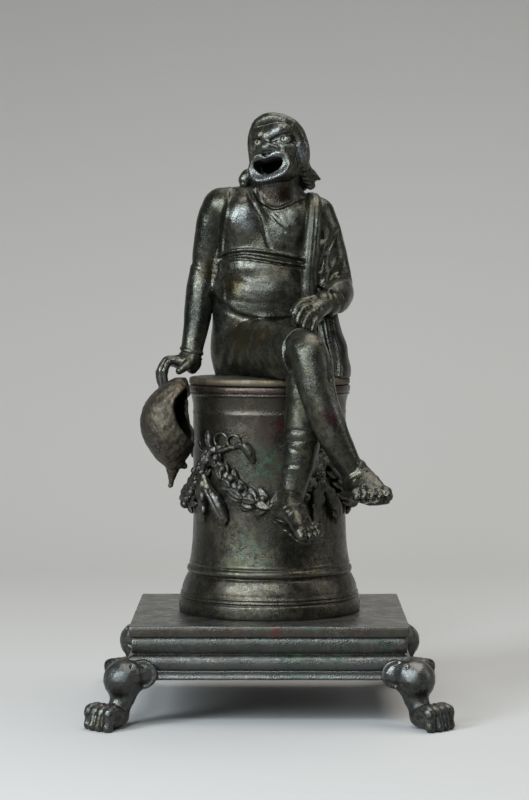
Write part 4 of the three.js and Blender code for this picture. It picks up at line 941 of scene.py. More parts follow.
leaf, fruit = leaf_and_fruit()
swag_tree = garland_tree()
swag_inputs = {item.name: item.identifier
               for item in swag_tree.interface.items_tree if item.in_out == "INPUT"}
for garland_name, turn in (("front", 0), ("right", 1), ("back", 2), ("left", 3)):
    swag_line = []
    radius = SHAFT_RADIUS + SWAG_PROUD
    for step in range(SWAG_STEPS + 1):
        share = 2 * step / SWAG_STEPS - 1
        angle = turn * QUARTER + share * (QUARTER / 2 - SWAG_END / SHAFT_RADIUS)
        height = GARLAND_TOP - SWAG_SAG * (1 - share * share)
        swag_line.append((radius * math.sin(angle) * MM, -radius * math.cos(angle) * MM, height * MM))
    path_mesh = bpy.data.meshes.new("swag_path")
    path_mesh.from_pydata(swag_line, [(i, i + 1) for i in range(SWAG_STEPS)], [])
    path = bpy.data.objects.new("swag_path", path_mesh)
    bpy.context.collection.objects.link(path)
    nodes = path.modifiers.new("garland", "NODES")
    nodes.node_group = swag_tree
    settings = {"Leaf": leaf, "Fruit": fruit, "Count": 12, "Spread": 3.0 * MM, "Cord Radius": 2.4 * MM,
                "Seed": 3 + turn, "Bronze": relief_bronze}
    for name, value in settings.items():
        nodes[swag_inputs[name]] = value
    fused = path.modifiers.new("casting", "REMESH")
    fused.mode = "VOXEL"
    fused.voxel_size = CASTING_CELL * MM
    fused.use_smooth_shade = True
    evaluated = path.evaluated_get(bpy.context.evaluated_depsgraph_get())
    mesh = bpy.data.meshes.new_from_object(evaluated)
    mesh.materials.clear()
    mesh.materials.append(relief_bronze)
    garland = bpy.data.objects.new("leafy_garland_" + garland_name, mesh)
    bpy.context.collection.objects.link(garland)
    bpy.data.objects.remove(path)
    finish_piece(garland, "altar_base", "garland_" + garland_name)
for spare in (leaf, fruit):
    bpy.data.objects.remove(spare)


# Fire pan
# A plain turned bowl, hung by its flange on the ledge inside the altar's mouth, crusted by the fire.
CLEARANCE = 0.5
PAN_LEDGE = ALTAR_TOP - LEDGE_DEPTH
PAN_FLOOR = PAN_LEDGE - 24
PAN_BOWL = BORE_RADIUS - CLEARANCE
PAN_FLANGE = MOUTH_RADIUS - CLEARANCE
PAN_WALL = 1.2
PAN_ROUND = 14.4
pan_bronze = patina(
    "pan_bronze", (0.07, 0.055, 0.04), (0.03, 0.028, 0.025), (0.5, 0.8), green=0.2, red=0.5, rubbed=0.4)


def bowl_side(wall):
    """The bowl's round side, at a depth of wall inside its outer face."""
    half, deep = 0.6 * PAN_BOWL - wall, PAN_ROUND - wall
    return [(half + 0.4 * PAN_BOWL * math.sin(t), PAN_FLOOR + wall + deep * (1 - math.cos(t)))
            for t in np.linspace(0.15, math.pi / 2, 9)]


pan_profile = [
    (0.03, PAN_FLOOR), (0.3 * PAN_BOWL, PAN_FLOOR), (0.6 * PAN_BOWL, PAN_FLOOR + 0.1), *bowl_side(0),
    *stepped(PAN_BOWL, PAN_LEDGE, [(0, -0.5), (0, 0.02)]),
    *stepped(PAN_FLANGE, PAN_LEDGE, [(-0.3, 0.02), (0, 0.3), (0, 1.1), (-0.3, 1.4)]),
    *stepped(PAN_BOWL - PAN_WALL, PAN_LEDGE, [(0.4, 1.4), (0, 1.0)]), *bowl_side(PAN_WALL)[::-1],
    (0.3 * PAN_BOWL, PAN_FLOOR + PAN_WALL), (0.03, PAN_FLOOR + PAN_WALL)]
pan = turned("burning_pan", pan_profile, pan_bronze, knocks=0.15, segments=128)
finish_piece(pan, "fire_pan", "fire_pan")


# Lid
# A slightly domed disc with a collar that fits the altar's mouth, and the smoke hole under the figure. The
# edge is scraped to a golden brown.
UNDER_LID = ALTAR_TOP + 0.3
LID_RADIUS = RIM_RADIUS - 0.1
COLLAR_RADIUS = MOUTH_RADIUS - CLEARANCE
HOLE_RADIUS = 6.0
lid_bronze = patina(
    "lid_bronze", (0.11, 0.108, 0.085), (0.065, 0.06, 0.042), (0.36, 0.55), green=0.6, red=0.3, rubbed=0.8,
    pitting=1.2, bands=((UNDER_LID - 0.5, UNDER_LID + 2.7, (0.1, 0.07, 0.034), 0.8),))
lid_profile = [
    (HOLE_RADIUS, UNDER_LID),
    *stepped(COLLAR_RADIUS, UNDER_LID, [
        (-1.8, 0), (-1.8, -4.7), (-1.5, -5), (-0.3, -5), (0, -4.7), (0, 0)]),
    *stepped(LID_RADIUS, UNDER_LID, [
        (-0.5, 0), (-0.1, 0.3), (0, 1.2), (-0.1, 2.2), (-0.5, 2.6), (-0.9, 2.75)]),
    *stepped(0, UNDER_LID, [
        (28, 2.9), (24, 3.1), (20, 3.3), (14, 3.6), (8, 3.8), (6.3, 3.8), (HOLE_RADIUS, 3.5)])]
lid = turned("domed_lid", lid_profile, lid_bronze, knocks=0.12)
finish_piece(lid, "figure_lid", "lid")


# Seated actor
# One thin casting in the original, finished with chasing tools. Its pieces are modelled in one block of wax
# in which they flow into each other, and each is then skinned by itself.
LID_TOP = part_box("lid")[1][2] / MM
ON_LID = Matrix.Translation((0, 0, LID_TOP))
WAX = 0.43


def from_lid(places):
    """Places of corrosion spots, patina staining, painted shade, rubbed places and painted highlights, with
    their heights given from the lid's top.
    """
    return [(x, y, LID_TOP + z, *rest) for x, y, z, *rest in places]


# Darker places: the neck under the chin, the right arm, and the mantle's band and falling end are painted
# shade; the red spot on the right shin and the lap's brown are patina staining, and the rest darken the belly
# and the right elbow.
figure_stains_and_shade = from_lid([
    (2.5, -11, 73, 11, (0.018, 0.012, 0.008)), (-25, -10, 57, 13, (0.015, 0.016, 0.013)),
    (-29, -12, 27, 16, (0.015, 0.016, 0.013)), (29, -8, 12, 14, (0.02, 0.019, 0.015)),
    (16, -14, 58, 7, (0.025, 0.025, 0.02)), (15.5, -15, 41, 8, (0.025, 0.025, 0.02)),
    (-15, -14, 37, 7, (0.035, 0.026, 0.01)), (23, -55, -12, 5, (0.045, 0.018, 0.016)),
    (-12, -20, 14, 14, (0.045, 0.036, 0.018)), (0, -30, 16, 10, (0.045, 0.034, 0.018)),
    (-24, -2, 42, 6, (0.025, 0.02, 0.01)), (-1, -20, 34, 11, (0.034, 0.033, 0.026))])
# Places lightened to pale bronze: the broad lip is rubbed; the forehead, face, chest, right shoulder, shins,
# left sleeve and the hair's right side carry painted highlights.
figure_wear_and_highlights = from_lid([
    (0, -17, 78, 11, 0.6), (4, -15, 95, 5, 0.4), (1, -16, 87, 6, 0.5), (-9.5, -16, 62, 9, 0.5),
    (-20, -10, 69, 5, 0.4), (16, -46, 6, 9, 0.5), (22, -50, -10, 7, 0.4), (26, -13, 41, 7, 0.5),
    (13.2, -9.6, 88, 6.5, 0.6), (7, -34, -24, 6, 0.3)])
figure_bronze = patina(
    "figure_bronze", (0.064, 0.062, 0.05), (0.04, 0.04, 0.027), (0.17, 0.3), green=0.2, red=0.2, rubbed=0.2,
    stains_and_shade=figure_stains_and_shade, bare=figure_wear_and_highlights)

# Trunk in its belted tunic, with the neck.
trunk = Clay((-30, -22, 10), (28, 20, 92), WAX)
trunk.add(stack([
    [12, -1, 0.8, 20.4, 13.4], [17, -1.1, 0.3, 21, 14.2], [24, -1.3, -0.6, 21, 15.2],
    [31, -1.5, -1.0, 20.2, 15.2], [37, -1.6, -0.6, 19.4, 14.4], [42.6, -1.2, 0.1, 18.5, 13.2],
    [46, -1, 0.2, 18.6, 13.0], [50, -1, 0.4, 18.8, 12.6], [56, -0.8, 0.8, 19.2, 12.4],
    [62, -0.8, 1.2, 19.6, 11.6], [67, -1, 1.6, 19.6, 10.4], [70.6, -1.6, 1.8, 18.2, 9],
    [73, -2.4, 1.8, 15.4, 7.6], [74.6, -1.6, 1.6, 12, 6.2], [75.4, 0, 1.4, 8, 4.6]]))
trunk.add(ball((-18.5, 1.4, 66.4), (7.6, 7.8, 7.8)), 3)
trunk.add(ball((17.4, 1.2, 63), (7.4, 7.4, 8)), 3)
trunk.add(ball((-9.5, -7, 61.5), (8.2, 5.6, 9)), 3)
trunk.add(ball((8.5, -6.6, 60), (7.6, 5.6, 8.6)), 3)
trunk.add(ball((-2, -9, 33.5), (13, 7.4, 9)), 4)
trunk.add(limb([(-19.4, 2, 50, 3.6), (-20.2, 2, 42, 3.6), (-21, 1, 36, 3.2)]), 1.5)
trunk.add(limb([(18.8, -1.5, 50, 5), (19.2, -2, 42, 5), (19.8, -3, 36, 4.6), (20.4, -4, 31, 4.4)]), 2)
trunk.add(limb([
    (3.0, 1.2, 68, 10.4), (2.8, 0.4, 76, 10.0), (3.4, -1.2, 80.6, 9.2), (3.8, -2, 82.4, 7.6)]), 1.6)

# Lap: the hips and both clothed thighs, the right one laid over the left.
right_hem, right_hem_out = (12.6, -41, 11.4), (0.5, -0.86, 0.05)
left_hem, left_hem_out = (13, -37.4, 6), (0.1, -1, -0.15)
lap = Clay((-26, -48, 0), (28, 21, 34), WAX)
lap.add(stack([
    [0.1, -0.5, 2, 20.6, 15], [2, -0.5, 2, 21.2, 15.8], [7, -0.5, 1.8, 22.4, 16.4],
    [13, -0.6, 1.3, 22.6, 16], [18, -0.8, 0.6, 21.8, 15], [22, -1, 0.2, 20.6, 14]]))
lap.add(cropped(limb([
    (-9.5, -1, 12, 11.2), (-5.5, -10, 12.6, 10.8), (-1, -19, 12.7, 10.2), (6, -31, 12.2, 9.2),
    (12.6, -42, 11.4, 8.3), (16, -48, 11.2, 8.0)]), right_hem, right_hem_out), 2.5)
lap.add(cropped(limb([
    (-9, -6, 8, 8.0), (-2, -19, 7.6, 7.8), (6, -32, 7.4, 7.2), (11.8, -41, 8.2, 7.4),
    (16, -48, 8.2, 7.2)]), right_hem, right_hem_out), 3)
lap.add(cropped(limb([
    (10, 0, 9.8, 9.6), (12, -14, 8.8, 8.6), (12.6, -27, 7.4, 7.6), (13, -37.4, 6.2, 7.0),
    (13, -42, 6, 7)]), left_hem, left_hem_out), 2.5)

# Right arm in its close sleeve, straight down to the hand that is propped on the lid's edge.
right_arm = Clay((-38, -18, 5), (-8, 14, 80), WAX)
right_arm.add(limb([
    (-19.4, 1.5, 66.6, 7.0), (-22.0, 2.0, 61.5, 6.5), (-23.2, 2.6, 56, 6.2), (-24.3, 3.4, 50, 5.9),
    (-25.4, 4.0, 44.2, 5.4), (-26.4, 3.2, 38.5, 5.7), (-27.2, 1.6, 32, 5.8), (-28.1, -1.4, 25, 5.4),
    (-28.9, -4.6, 18.6, 4.9), (-30.0, -7.0, 12.4, 4.4), (-30.5, -8.0, 9.4, 4.3)]))

# Left arm, muffled in the mantle and bent across to the knee.
left_arm = Clay((10, -27, 18), (40, 14, 76), WAX)
left_arm.add(limb([(19.0, 1.2, 63.8, 6.6), (21.4, 1.8, 58, 6.4), (23.2, 2.4, 51.5, 6.4), (24.8, 2.8, 45, 6.3),
                   (26.2, 2.8, 38.5, 6.1), (26.4, 2.2, 34.8, 6.0)]))
left_arm.add(limb([(26.4, 2.2, 34.8, 6.0), (26.4, -3, 33.2, 6.6), (25.4, -9, 31.4, 6.6), (23.6, -15, 30, 5.8),
                   (21.6, -19.4, 29.3, 4.9), (20.6, -21.4, 29, 4.5)]), 1.5)

# Legs in wrinkled hose.
right_leg = Clay((2, -58, -42), (42, -30, 24), WAX)
right_leg.add(limb([
    (8, -34, 12, 7.2), (12.4, -41, 11.6, 7.6), (14.6, -44.6, 10.6, 7.7), (16.0, -46.4, 5.6, 7.6),
    (17.2, -47.6, -0.6, 7.1), (19.0, -48.4, -7, 6.7), (21.2, -48.6, -13.4, 6.5), (24.2, -48.4, -20.4, 6.0),
    (27.8, -47.4, -27.6, 5.2), (31.2, -45.8, -33.6, 4.6), (33, -44.4, -38, 4.4)]))
left_leg = Clay((-2, -54, -60), (24, -28, 16), WAX)
left_leg.add(limb([
    (13, -34, 6.0, 6.4), (13, -39, 4, 6.8), (13.2, -40.6, -2, 6.9), (13.0, -40.8, -10, 7.0),
    (12.6, -41.2, -18, 7.1), (12.0, -41.8, -25, 6.8), (10.8, -42.2, -32, 6.1), (9.2, -42.6, -39, 5.3),
    (7.8, -43.0, -45, 4.9), (7.0, -43.4, -49, 4.7)]))

# Mantle: a pleated band over the left shoulder, and the end that falls beside the hip to the lid.
mantle_band = Clay((8, -18, 24), (27, 17, 80), WAX)
mantle_band.add(limb([
    (15.4, -11.6, 28, 2.6), (15.2, -12.6, 36, 2.7), (15.6, -12.6, 45, 2.7), (16.4, -11.4, 54, 2.7),
    (17.0, -8.8, 62, 2.7), (17.0, -4.4, 68, 2.6), (16.6, 1.6, 70.2, 2.5), (16.4, 7.4, 67, 2.6),
    (16.2, 11, 58, 2.7), (15.4, 12.6, 46, 2.7), (14, 13.4, 30, 2.6)], stretch=(1.25, 1, 1)))
mantle_fall = Clay((12, -20, 0), (38, 16, 44), WAX)
mantle_fall.add(stack([
    [0.1, 25.2, -3.6, 6.6, 12.4], [3, 25.2, -3.2, 6.7, 12], [8, 24.6, -2.2, 6.4, 11],
    [12, 24.0, -1.2, 6.6, 10], [18, 22.8, 0, 5.6, 8.6], [24, 22.2, 1, 4.8, 7], [33, 22.6, 2, 4.4, 5.6]]))

body = Clay((-40, -60, -62), (42, 22, 92), WAX)
for wax, blend in (
        (lap, 0), (trunk, 1.6), (right_arm, 0.9), (left_arm, 0.9), (mantle_band, 0.7), (mantle_fall, 1.0),
        (right_leg, 0.8), (left_leg, 0.4)):
    body.lay(wax, blend)

# Edge of the armhole, folds that fall from the shoulder, and the neckline.
body.hem([(-19, 44), (-18.4, 50), (-17.6, 58), (-16.2, 65.2), (-15.5, 73), (-15.2, 75)], 2.2, 0.7, 4)
body.stroke([
    (-9.2, 75), (-8.2, 71.5), (-6.2, 67), (-3.6, 62.4), (-1.9, 57), (-0.8, 52.6), (0.2, 50.4)], 0.7, 0.5, 0)
body.stroke([(-5.6, 72.4), (-3.6, 67.8), (-0.4, 63.6), (3.2, 59.6), (6.0, 57)], 0.5, 0.4, 0)
body.stroke([(-4.2, 71.6), (-1.8, 67.2), (1.4, 63.6), (5.0, 59.8), (7.2, 58)], 1.2, -0.25, 0)
body.stroke([(-0.6, 67.2), (2.6, 64.2), (5.4, 60.4)], 0.6, 0.3, 0)
body.stroke([(-5.2, 71.4), (-2.4, 67.6), (2.9, 65.9), (7.8, 67.4), (12.9, 70)], 0.45, 0.5, -2)
body.stroke([(-5.6, 70.4), (-2.4, 66.6), (2.9, 64.9), (7.8, 66.4), (13.2, 69)], 0.6, -0.35, -2)
# Belted waist: a roll of cloth, two grooves with a thin ridge between them, and the swell of the belly.
body.stroke([
    (-19.4, 47.2), (-18.4, 48.1), (-14, 49.3), (-9.5, 49.7), (-3.3, 49.4), (2.2, 48.6),
    (12.6, 46.6)], 0.6, -0.8, 2)
body.stroke([(-19, 46.6), (-16, 47.6), (-11, 48.6), (-5, 48.2), (2.5, 46.9), (12.8, 45.1)], 0.9, 1.0, 2)
body.stroke([(-14, 47.0), (-10.3, 47.6), (-2.5, 46.3), (3.7, 45.0), (12.6, 43.7)], 0.45, -0.5, 2)
body.stroke([(-19, 45.4), (-13.4, 46.3), (-2.5, 45.3), (9.9, 43.2), (13.4, 42.8)], 0.45, 0.8, 2)
body.stroke([(-18.6, 41.6), (-17, 36), (-16.4, 31)], 1.0, 0.4, 2)
# Overfold that hangs over the lap in a soft curve.
body.hem([
    (-21.6, 33), (-19.4, 30.4), (-16.4, 28.4), (-13.5, 26.3), (-6.5, 24.2), (-1.8, 23.6), (4.3, 23.6),
    (9, 24.4)], 3.4, 0.9, 0)
body.stroke([(-20, 28.6), (-16, 25.8), (-13, 24.5), (-6.5, 22.6), (-1.8, 22.2), (4.3, 22.4)], 0.9, 0.35, 0)
body.stroke([(-18.2, 43), (-14, 40.2), (-8, 37.4), (0, 36.2)], 0.9, 0.2, 2)
body.stroke([(-17.6, 39.6), (-12, 35.8), (-4, 33.6), (6, 33)], 1.2, -0.14, 2)
body.stroke([(-15, 30.6), (-8, 29.4), (0, 29), (8, 29.8)], 0.9, 0.16, 2)
# Pleats of the mantle's band.
BAND_PATH = [
    (15.4, -14.4, 27), (15.2, -15.6, 36), (15.6, -15.4, 45), (16.4, -14.2, 54), (17.0, -11.4, 62),
    (17.2, -6.6, 69.6), (16.8, 1.8, 72.6), (16.4, 9.4, 68.6), (16.2, 13.6, 58), (15.4, 15.4, 46),
    (14, 16, 30)]
for shift, width, depth in ((-2.7, 0.5, 0.6), (-0.6, 0.4, 0.35), (0.8, 0.5, 0.6), (2.9, 0.5, 0.8)):
    body.crease([(x + shift, y, z) for x, y, z in BAND_PATH], width, depth)
# Folds of the mantle on the left arm.
body.stroke([(26.4, 57.6), (24.6, 54), (22.4, 49.6), (20.6, 45.6), (19.6, 42)], 0.9, 0.6, 3)
body.stroke([(24.4, 56.8), (22.6, 53), (20.8, 48.8)], 1.6, -0.3, 3)
body.stroke([(27, 46.4), (24.6, 42.4), (22.4, 39), (20.4, 35.4)], 1.1, -0.35, 3)
body.stroke([(28, 45.4), (25.8, 41.4), (23.4, 37.8)], 1.0, 0.25, 3)
body.stroke([(31, 39.4), (27.6, 39.3), (24.4, 38), (21.8, 35.8), (20.2, 34)], 0.7, 0.7, 3)
body.stroke([(31.4, 37.8), (28, 37.6), (24.8, 36.2), (22.4, 34)], 1.2, -0.4, 3)
KNUCKLE_FOLD = [(-1.6, 3.6), (1.4, 2.4), (2.6, -0.6), (1.6, -4), (-0.6, -6)]
for x, z in ((20.6, 31.4), (22.8, 30.6), (25.4, 29.8)):
    body.stroke([(x + along, z + up) for along, up in KNUCKLE_FOLD], 0.55, 0.6, -3)
# Crease across the right elbow, and the double cuff at its wrist.
body.stroke([(-31.2, 45.2), (-28.4, 43), (-25.4, 41.4), (-21, 39.6)], 0.9, 0.3, 8)
body.stroke([(-31.4, 43.4), (-28.8, 41), (-25.6, 39.4)], 1.2, -0.15, 8)


CUFF_RADIUS = 4.4
CUFF_LEAN = -1.1


def cuff(wax, centre, width, depth):
    """Ring round the wrist, that leans as it crosses the front."""
    ring = [(centre[0] + CUFF_RADIUS * math.cos(t), centre[1] + CUFF_RADIUS * math.sin(t),
             centre[2] + CUFF_LEAN * math.cos(t)) for t in np.linspace(0, 2 * math.pi, 33)]
    wax.crease(ring, width, depth)


cuff(body, (-30.4, -7.7, 10.3), 0.6, -0.7)
cuff(body, (-30.6, -8.1, 9.2), 0.4, 0.6)
cuff(body, (-30.7, -8.3, 8.1), 0.6, -0.8)
# Wrinkles of the hose, and its seam along the right shin.
body.stroke([(5.6, -17.6), (10, -18.3), (15, -18.2)], 0.5, 0.4, -36)
body.stroke([(5.2, -23.4), (8, -22.8), (12, -22.2), (17, -22.6)], 0.5, 0.4, -36)
body.stroke([(7.6, -24.8), (10.4, -26), (13.8, -28.2)], 0.6, 0.3, -36)
body.stroke([(4, -31.8), (7, -31.2), (10.6, -31.4)], 0.5, 0.35, -36)
body.stroke([(4, -33.6), (7.4, -32.9), (11.4, -33.2)], 0.8, -0.2, -36)
body.stroke([(5.8, -19.6), (10, -20), (15, -19.8)], 0.9, -0.2, -36)
body.stroke([(19.4, 16), (21.6, 10.4), (23.2, 2), (25.4, -7), (28.6, -15.4)], 0.35, -0.25, -38)
# Hem of the tunic round the right knee.
body.crease([
    (15.6, -41.2, 18.9), (11.2, -43, 17.2), (7.6, -42.6, 13.2), (5.6, -40, 7.6),
    (7.4, -38.6, 1.4)], 0.4, 0.4)
# Folds of the lap and of the mantle's falling end.
for x, lean in ((-19, -1.4), (-15.4, -1.2), (-11.6, -0.8), (-7.4, -0.4), (-3, 0.4)):
    body.stroke([(x + 3, 20), (x + 0.6, 13), (x + lean, 6.4), (x + lean + 0.4, 1)], 1.2, 0.22, 2)
    body.stroke([(x + 4.8, 19), (x + 2.4, 12), (x + lean + 1.8, 5.4), (x + lean + 2.2, 1)], 1.1, -0.2, 2)
for x, bend, depth in ((21.4, 1.4, 0.6), (24.6, 1.8, 0.5)):
    body.stroke([(x - 1.6, 24), (x - 0.4, 17), (x + bend - 0.4, 9), (x + bend, 1)], 0.7, depth, 4)
    body.stroke([(x - 0.2, 24), (x + 1, 17), (x + bend + 1, 9), (x + bend + 1.4, 1)], 1.2, -0.3, 4)
body.swell(0.07, 11)
# The smoke's way, from the hollow neck to the mask's mouth.
body.cut(limb([(1.2, -8, 83, 4.4), (3, -3, 83, 5.8), (3.7, 0, 88, 6.6)]))

waxes = {
    "tunic_body": trunk, "tunic_lap": lap, "right_arm": right_arm, "left_arm": left_arm,
    "right_leg": right_leg, "left_leg": left_leg, "mantle_shoulder": mantle_band,
    "mantle_fall": mantle_fall}
for node_name, wax in waxes.items():
    skin = body.part(wax, list(waxes.values())).skinned("cast_" + node_name, figure_bronze, ON_LID)
    finish_piece(skin, "figure_lid", node_name)


# Mask
# A comic slave's mask with its wig, worn over the whole head: knitted brows over inlaid eyes, a snub nose, a
# trumpet of a mouth that lets the smoke out, and a roll of hair that flicks out over the ears.
ON_HEAD = (ON_LID @ Matrix.Translation((3.7, -2.5, 89.5)) @ Matrix.Rotation(math.radians(-20), 4, "Z")
           @ Matrix.Rotation(math.radians(-10), 4, "X") @ Matrix.Rotation(math.radians(-8), 4, "Y"))
MASK_WAX = 0.27
EYES = {"left": (6.3, -10.9, 0.0), "right": (-4.5, -11.0, 0.2)}
lip_line = smooth_path([
    (-1.0, -6.3), (-4.6, -4.5), (-7.4, -6.0), (-9, -8.4), (-9.4, -11), (-8.6, -13.4), (-6.2, -15.4),
    (-3.4, -16.1), (-0.2, -16), (3.3, -15.2), (6, -14.2), (7.9, -12.3), (8.9, -10.2), (8.5, -8.2),
    (7.2, -5.8), (4.6, -4.9), (1.6, -5.1), (-1.0, -6.3)], 0.5)
throat_line = smooth_path([
    (-1.8, -7.9), (-4.5, -7.3), (-6.4, -7.8), (-6.7, -9.2), (-5.3, -11.4), (-3.9, -12.5), (-0.5, -12.9),
    (2.2, -12.2), (4.3, -10.8), (5.1, -9.3), (4.8, -7.6), (2.3, -7.3), (-1.8, -7.9)], 0.5)


def outline_distance(line, x, z):
    """Distance to a closed outline [x, z], negative inside it."""
    near = path_distance(line, (x, z))[0]
    inside = np.zeros(near.shape, bool)
    for (ax, az), (bx, bz) in zip(line[:-1], line[1:]):
        if az != bz:
            inside ^= ((az > z) != (bz > z)) & (x < (bx - ax) * (z - az) / (bz - az) + ax)
    return np.where(inside, -near, near)


mask = Clay((-18.5, -17.5, -18.5), (17.5, 16.5, 17), MASK_WAX)
mask.add(ball((1.0, 0.3, 1.3), (10.0, 11.8, 11.8)))
mask.add(ball((0, -2.4, -6.6), (9.8, 9.4, 8.4)), 2.5)
mask.add(ball((0.2, 4, -3), (10.2, 9.6, 10)), 3)
# Bulging forehead, and the sockets cut under it so that its lower edge makes a V of two frowning brows.
mask.add(ball((0.8, -6.6, 4.8), (9.0, 6.2, 5.0)), 1.6)
mask.add(limb([
    (0.2, -11.8, 1.0, 1.3), (3.0, -11.6, 3.0, 2.5), (6.0, -10.9, 3.8, 2.1), (7.8, -10.1, 3.9, 1.3)]), 3)
mask.add(limb([
    (-0.4, -11.8, 1.0, 1.3), (-2.9, -11.4, 2.7, 2.1), (-5.4, -10.4, 3.8, 1.8), (-7.0, -9.2, 4.0, 1.2)]), 3)
mask.cut(limb([
    (0.9, -13.2, -0.9, 0.9), (3.4, -13.0, 0.1, 1.3), (6.2, -12.4, 1.1, 1.1), (8.4, -10.8, 1.8, 0.9)]), 0.2)
mask.cut(limb([
    (-1.7, -13.2, -0.9, 0.9), (-3.6, -12.8, 0.2, 1.2), (-5.7, -11.6, 1.3, 1.0),
    (-7.0, -10.4, 1.8, 0.8)]), 0.2)
mask.add(limb([(2.2, -10.9, -2.9, 1.8), (5.2, -10.0, -3.6, 2.1), (8.0, -8.4, -3.2, 1.6)]), 3)
mask.add(limb([(-2.4, -10.6, -2.9, 1.6), (-5.2, -9.8, -3.4, 1.7), (-7.0, -8.6, -2.8, 1.2)]), 2.5)
for x, y, z in EYES.values():
    mask.add(ball((x, y + 0.7, z - 0.1), (2.4, 1.7, 1.7)), 0.4)
    mask.cut(ball((x, y - 0.1, z), (1.75, 1.6, 1.3)))
# Snub nose, broad and turned up, with a dark hollow under it down to the lip.
mask.add(limb([(0.0, -12.2, -0.6, 1.1), (-0.1, -13.4, -1.9, 1.5), (-0.2, -14.4, -3.0, 2.0)]), 0.7)
mask.add(limb([(-3.5, -12.9, -3.7, 1.4), (-0.2, -14.7, -3.1, 2.0), (3.1, -13.1, -3.7, 1.4)]), 0.7)
mask.crease([(4.4, -12.2, -3.9), (7.0, -10.6, -4.4), (9.2, -8.6, -6.4), (9.8, -6.8, -9.6)], 0.9, 0.2)
mask.crease([(-4.2, -12.2, -3.7), (-6.4, -10.4, -4.0), (-8.4, -8.4, -5.8), (-9.0, -6.8, -8.8)], 0.9, 0.25)
# Trumpet of the mouth: a broad flat lip, cut with fine radial strokes, round a throat that narrows inwards.
LIP_FRONT = -14.3
LIP_BACK = -8.5
LIP_BEND = 0.02475
LIP_MIDDLE = -0.2
x, y, z = np.meshgrid(*mask.axes, indexing="ij", sparse=True)
lip_edge = outline_distance(lip_line, x, z)
front = LIP_FRONT + LIP_BEND * (x - LIP_MIDDLE) ** 2 + 0.5 * np.clip(-0.9 - lip_edge, 0, 2)
lip = -soft_least(-lip_edge, -np.maximum(front - y, y - LIP_BACK + 0.45 * lip_edge), 0.9)
mask.field = soft_least(mask.field, np.minimum(lip, FAR), 0.6)
mask.cut(limb([(-2.9, -15.0, -5.3, 0.7), (-0.5, -15.8, -5.5, 1.1), (2.2, -15.2, -5.3, 0.7)]), 0.2)
throat = outline_distance(throat_line, x, z) - 0.45 * np.clip(-12.5 - y, 0, 2)
mask.field = np.maximum(mask.field, -np.maximum(throat, y + 4))
LIP_STROKES = 30
for turn in np.linspace(math.radians(150), math.radians(380), LIP_STROKES):
    out = np.array((math.cos(turn), math.sin(turn)))
    inner, outer = np.array((-0.6, -10)) + out * (5.4, 3.2), np.array((-0.4, -10.6)) + out * (9.0, 5.3)
    mask.crease([(inner[0], LIP_FRONT, inner[1]), (outer[0], LIP_FRONT + 0.3, outer[1])], 0.26, 0.3)
# Wig: a thick roll round the face, hair combed back from the crown, and the ends flicked out.
HAIR = [
    (-8.8, -1.8, -8.4, 2.0), (-9.0, -4.6, -2.6, 2.1), (-8.3, -6.6, 2.4, 2.1), (-6.3, -8.8, 5.8, 2.2),
    (-3.8, -10.4, 8.0, 2.4), (0.4, -11.2, 8.9, 2.6), (4.9, -10.4, 8.1, 2.5), (8.4, -8.3, 5.7, 2.7),
    (10.1, -5.8, 1.6, 2.9), (10.5, -4.4, -2.4, 2.9), (10.3, -3.0, -6.2, 2.7), (9.8, -0.8, -9.2, 2.2)]
mask.add(limb(HAIR), 0.2)
mask.add(limb([
    (9.6, 0.4, -7, 2.0), (10.0, 3.2, -10, 1.9), (11.8, 6.2, -12.0, 1.5), (13.0, 7.4, -12.8, 0.6)]), 0.6)
mask.add(limb([(8.8, 4, -10.5, 2.6), (9.6, 6, -13.2, 2.3), (9.6, 6.6, -15, 1.8)]), 0.6)
mask.add(limb([
    (-9.2, 0.6, -6.4, 2.0), (-11.6, -0.2, -8.2, 2.2), (-14.4, -0.8, -10.2, 2.8),
    (-15.0, -1, -12.2, 2.0)]), 0.6)
mask.add(limb([(-9.6, 3, -9.4, 2.4), (-10.8, 4.4, -12.4, 2.0), (-11.2, 5.2, -13.8, 1.3)]), 0.7)
mask.add(limb([
    (-8.6, 6, -11.8, 2.4), (-5, 10.4, -13.2, 2.6), (0, 11.8, -13.6, 2.6), (5, 10.4, -13.2, 2.6),
    (8.6, 6, -11.8, 2.4)]), 1.5)
LOCKS = 34
COMB_DEPTH = 0.12
around = np.arctan2(x, y - 1) + 0.12 * np.sin(z / 2.3)
behind_roll = np.clip((y + 7.4 + 0.25 * np.abs(z - 4)) / 3, 0, 1)
mask.field += (COMB_DEPTH * np.cos(LOCKS * around) * behind_roll
               * np.clip((11.6 - z) / 6, 0, 1)).astype(np.float32)
for shift in (-1.1, 0.1, 1.2):
    mask.crease([(a * 1.05, b * 1.05 + 0.5 * shift, c + shift) for a, b, c, _ in HAIR], 0.35, 0.16)
mask.swell(0.06, 7)
# Hollow inside, and open below where it sits over the neck.
HOLLOW_FLOOR = -12.0
hollow = np.maximum(ball((0, 0.6, 0), (9.2, 9.6, 10.2))[2](x, y, z), HOLLOW_FLOOR - z)
mask.field = np.maximum(mask.field, -hollow)
mask.field = np.maximum(mask.field, -ball((0, -1.4, -8), (7.6, 7.2, 7.0))[2](x, y, z)).astype(np.float32)
mask_skin = mask.skinned("slave_mask", figure_bronze, ON_HEAD)
finish_piece(mask_skin, "figure_lid", "mask")


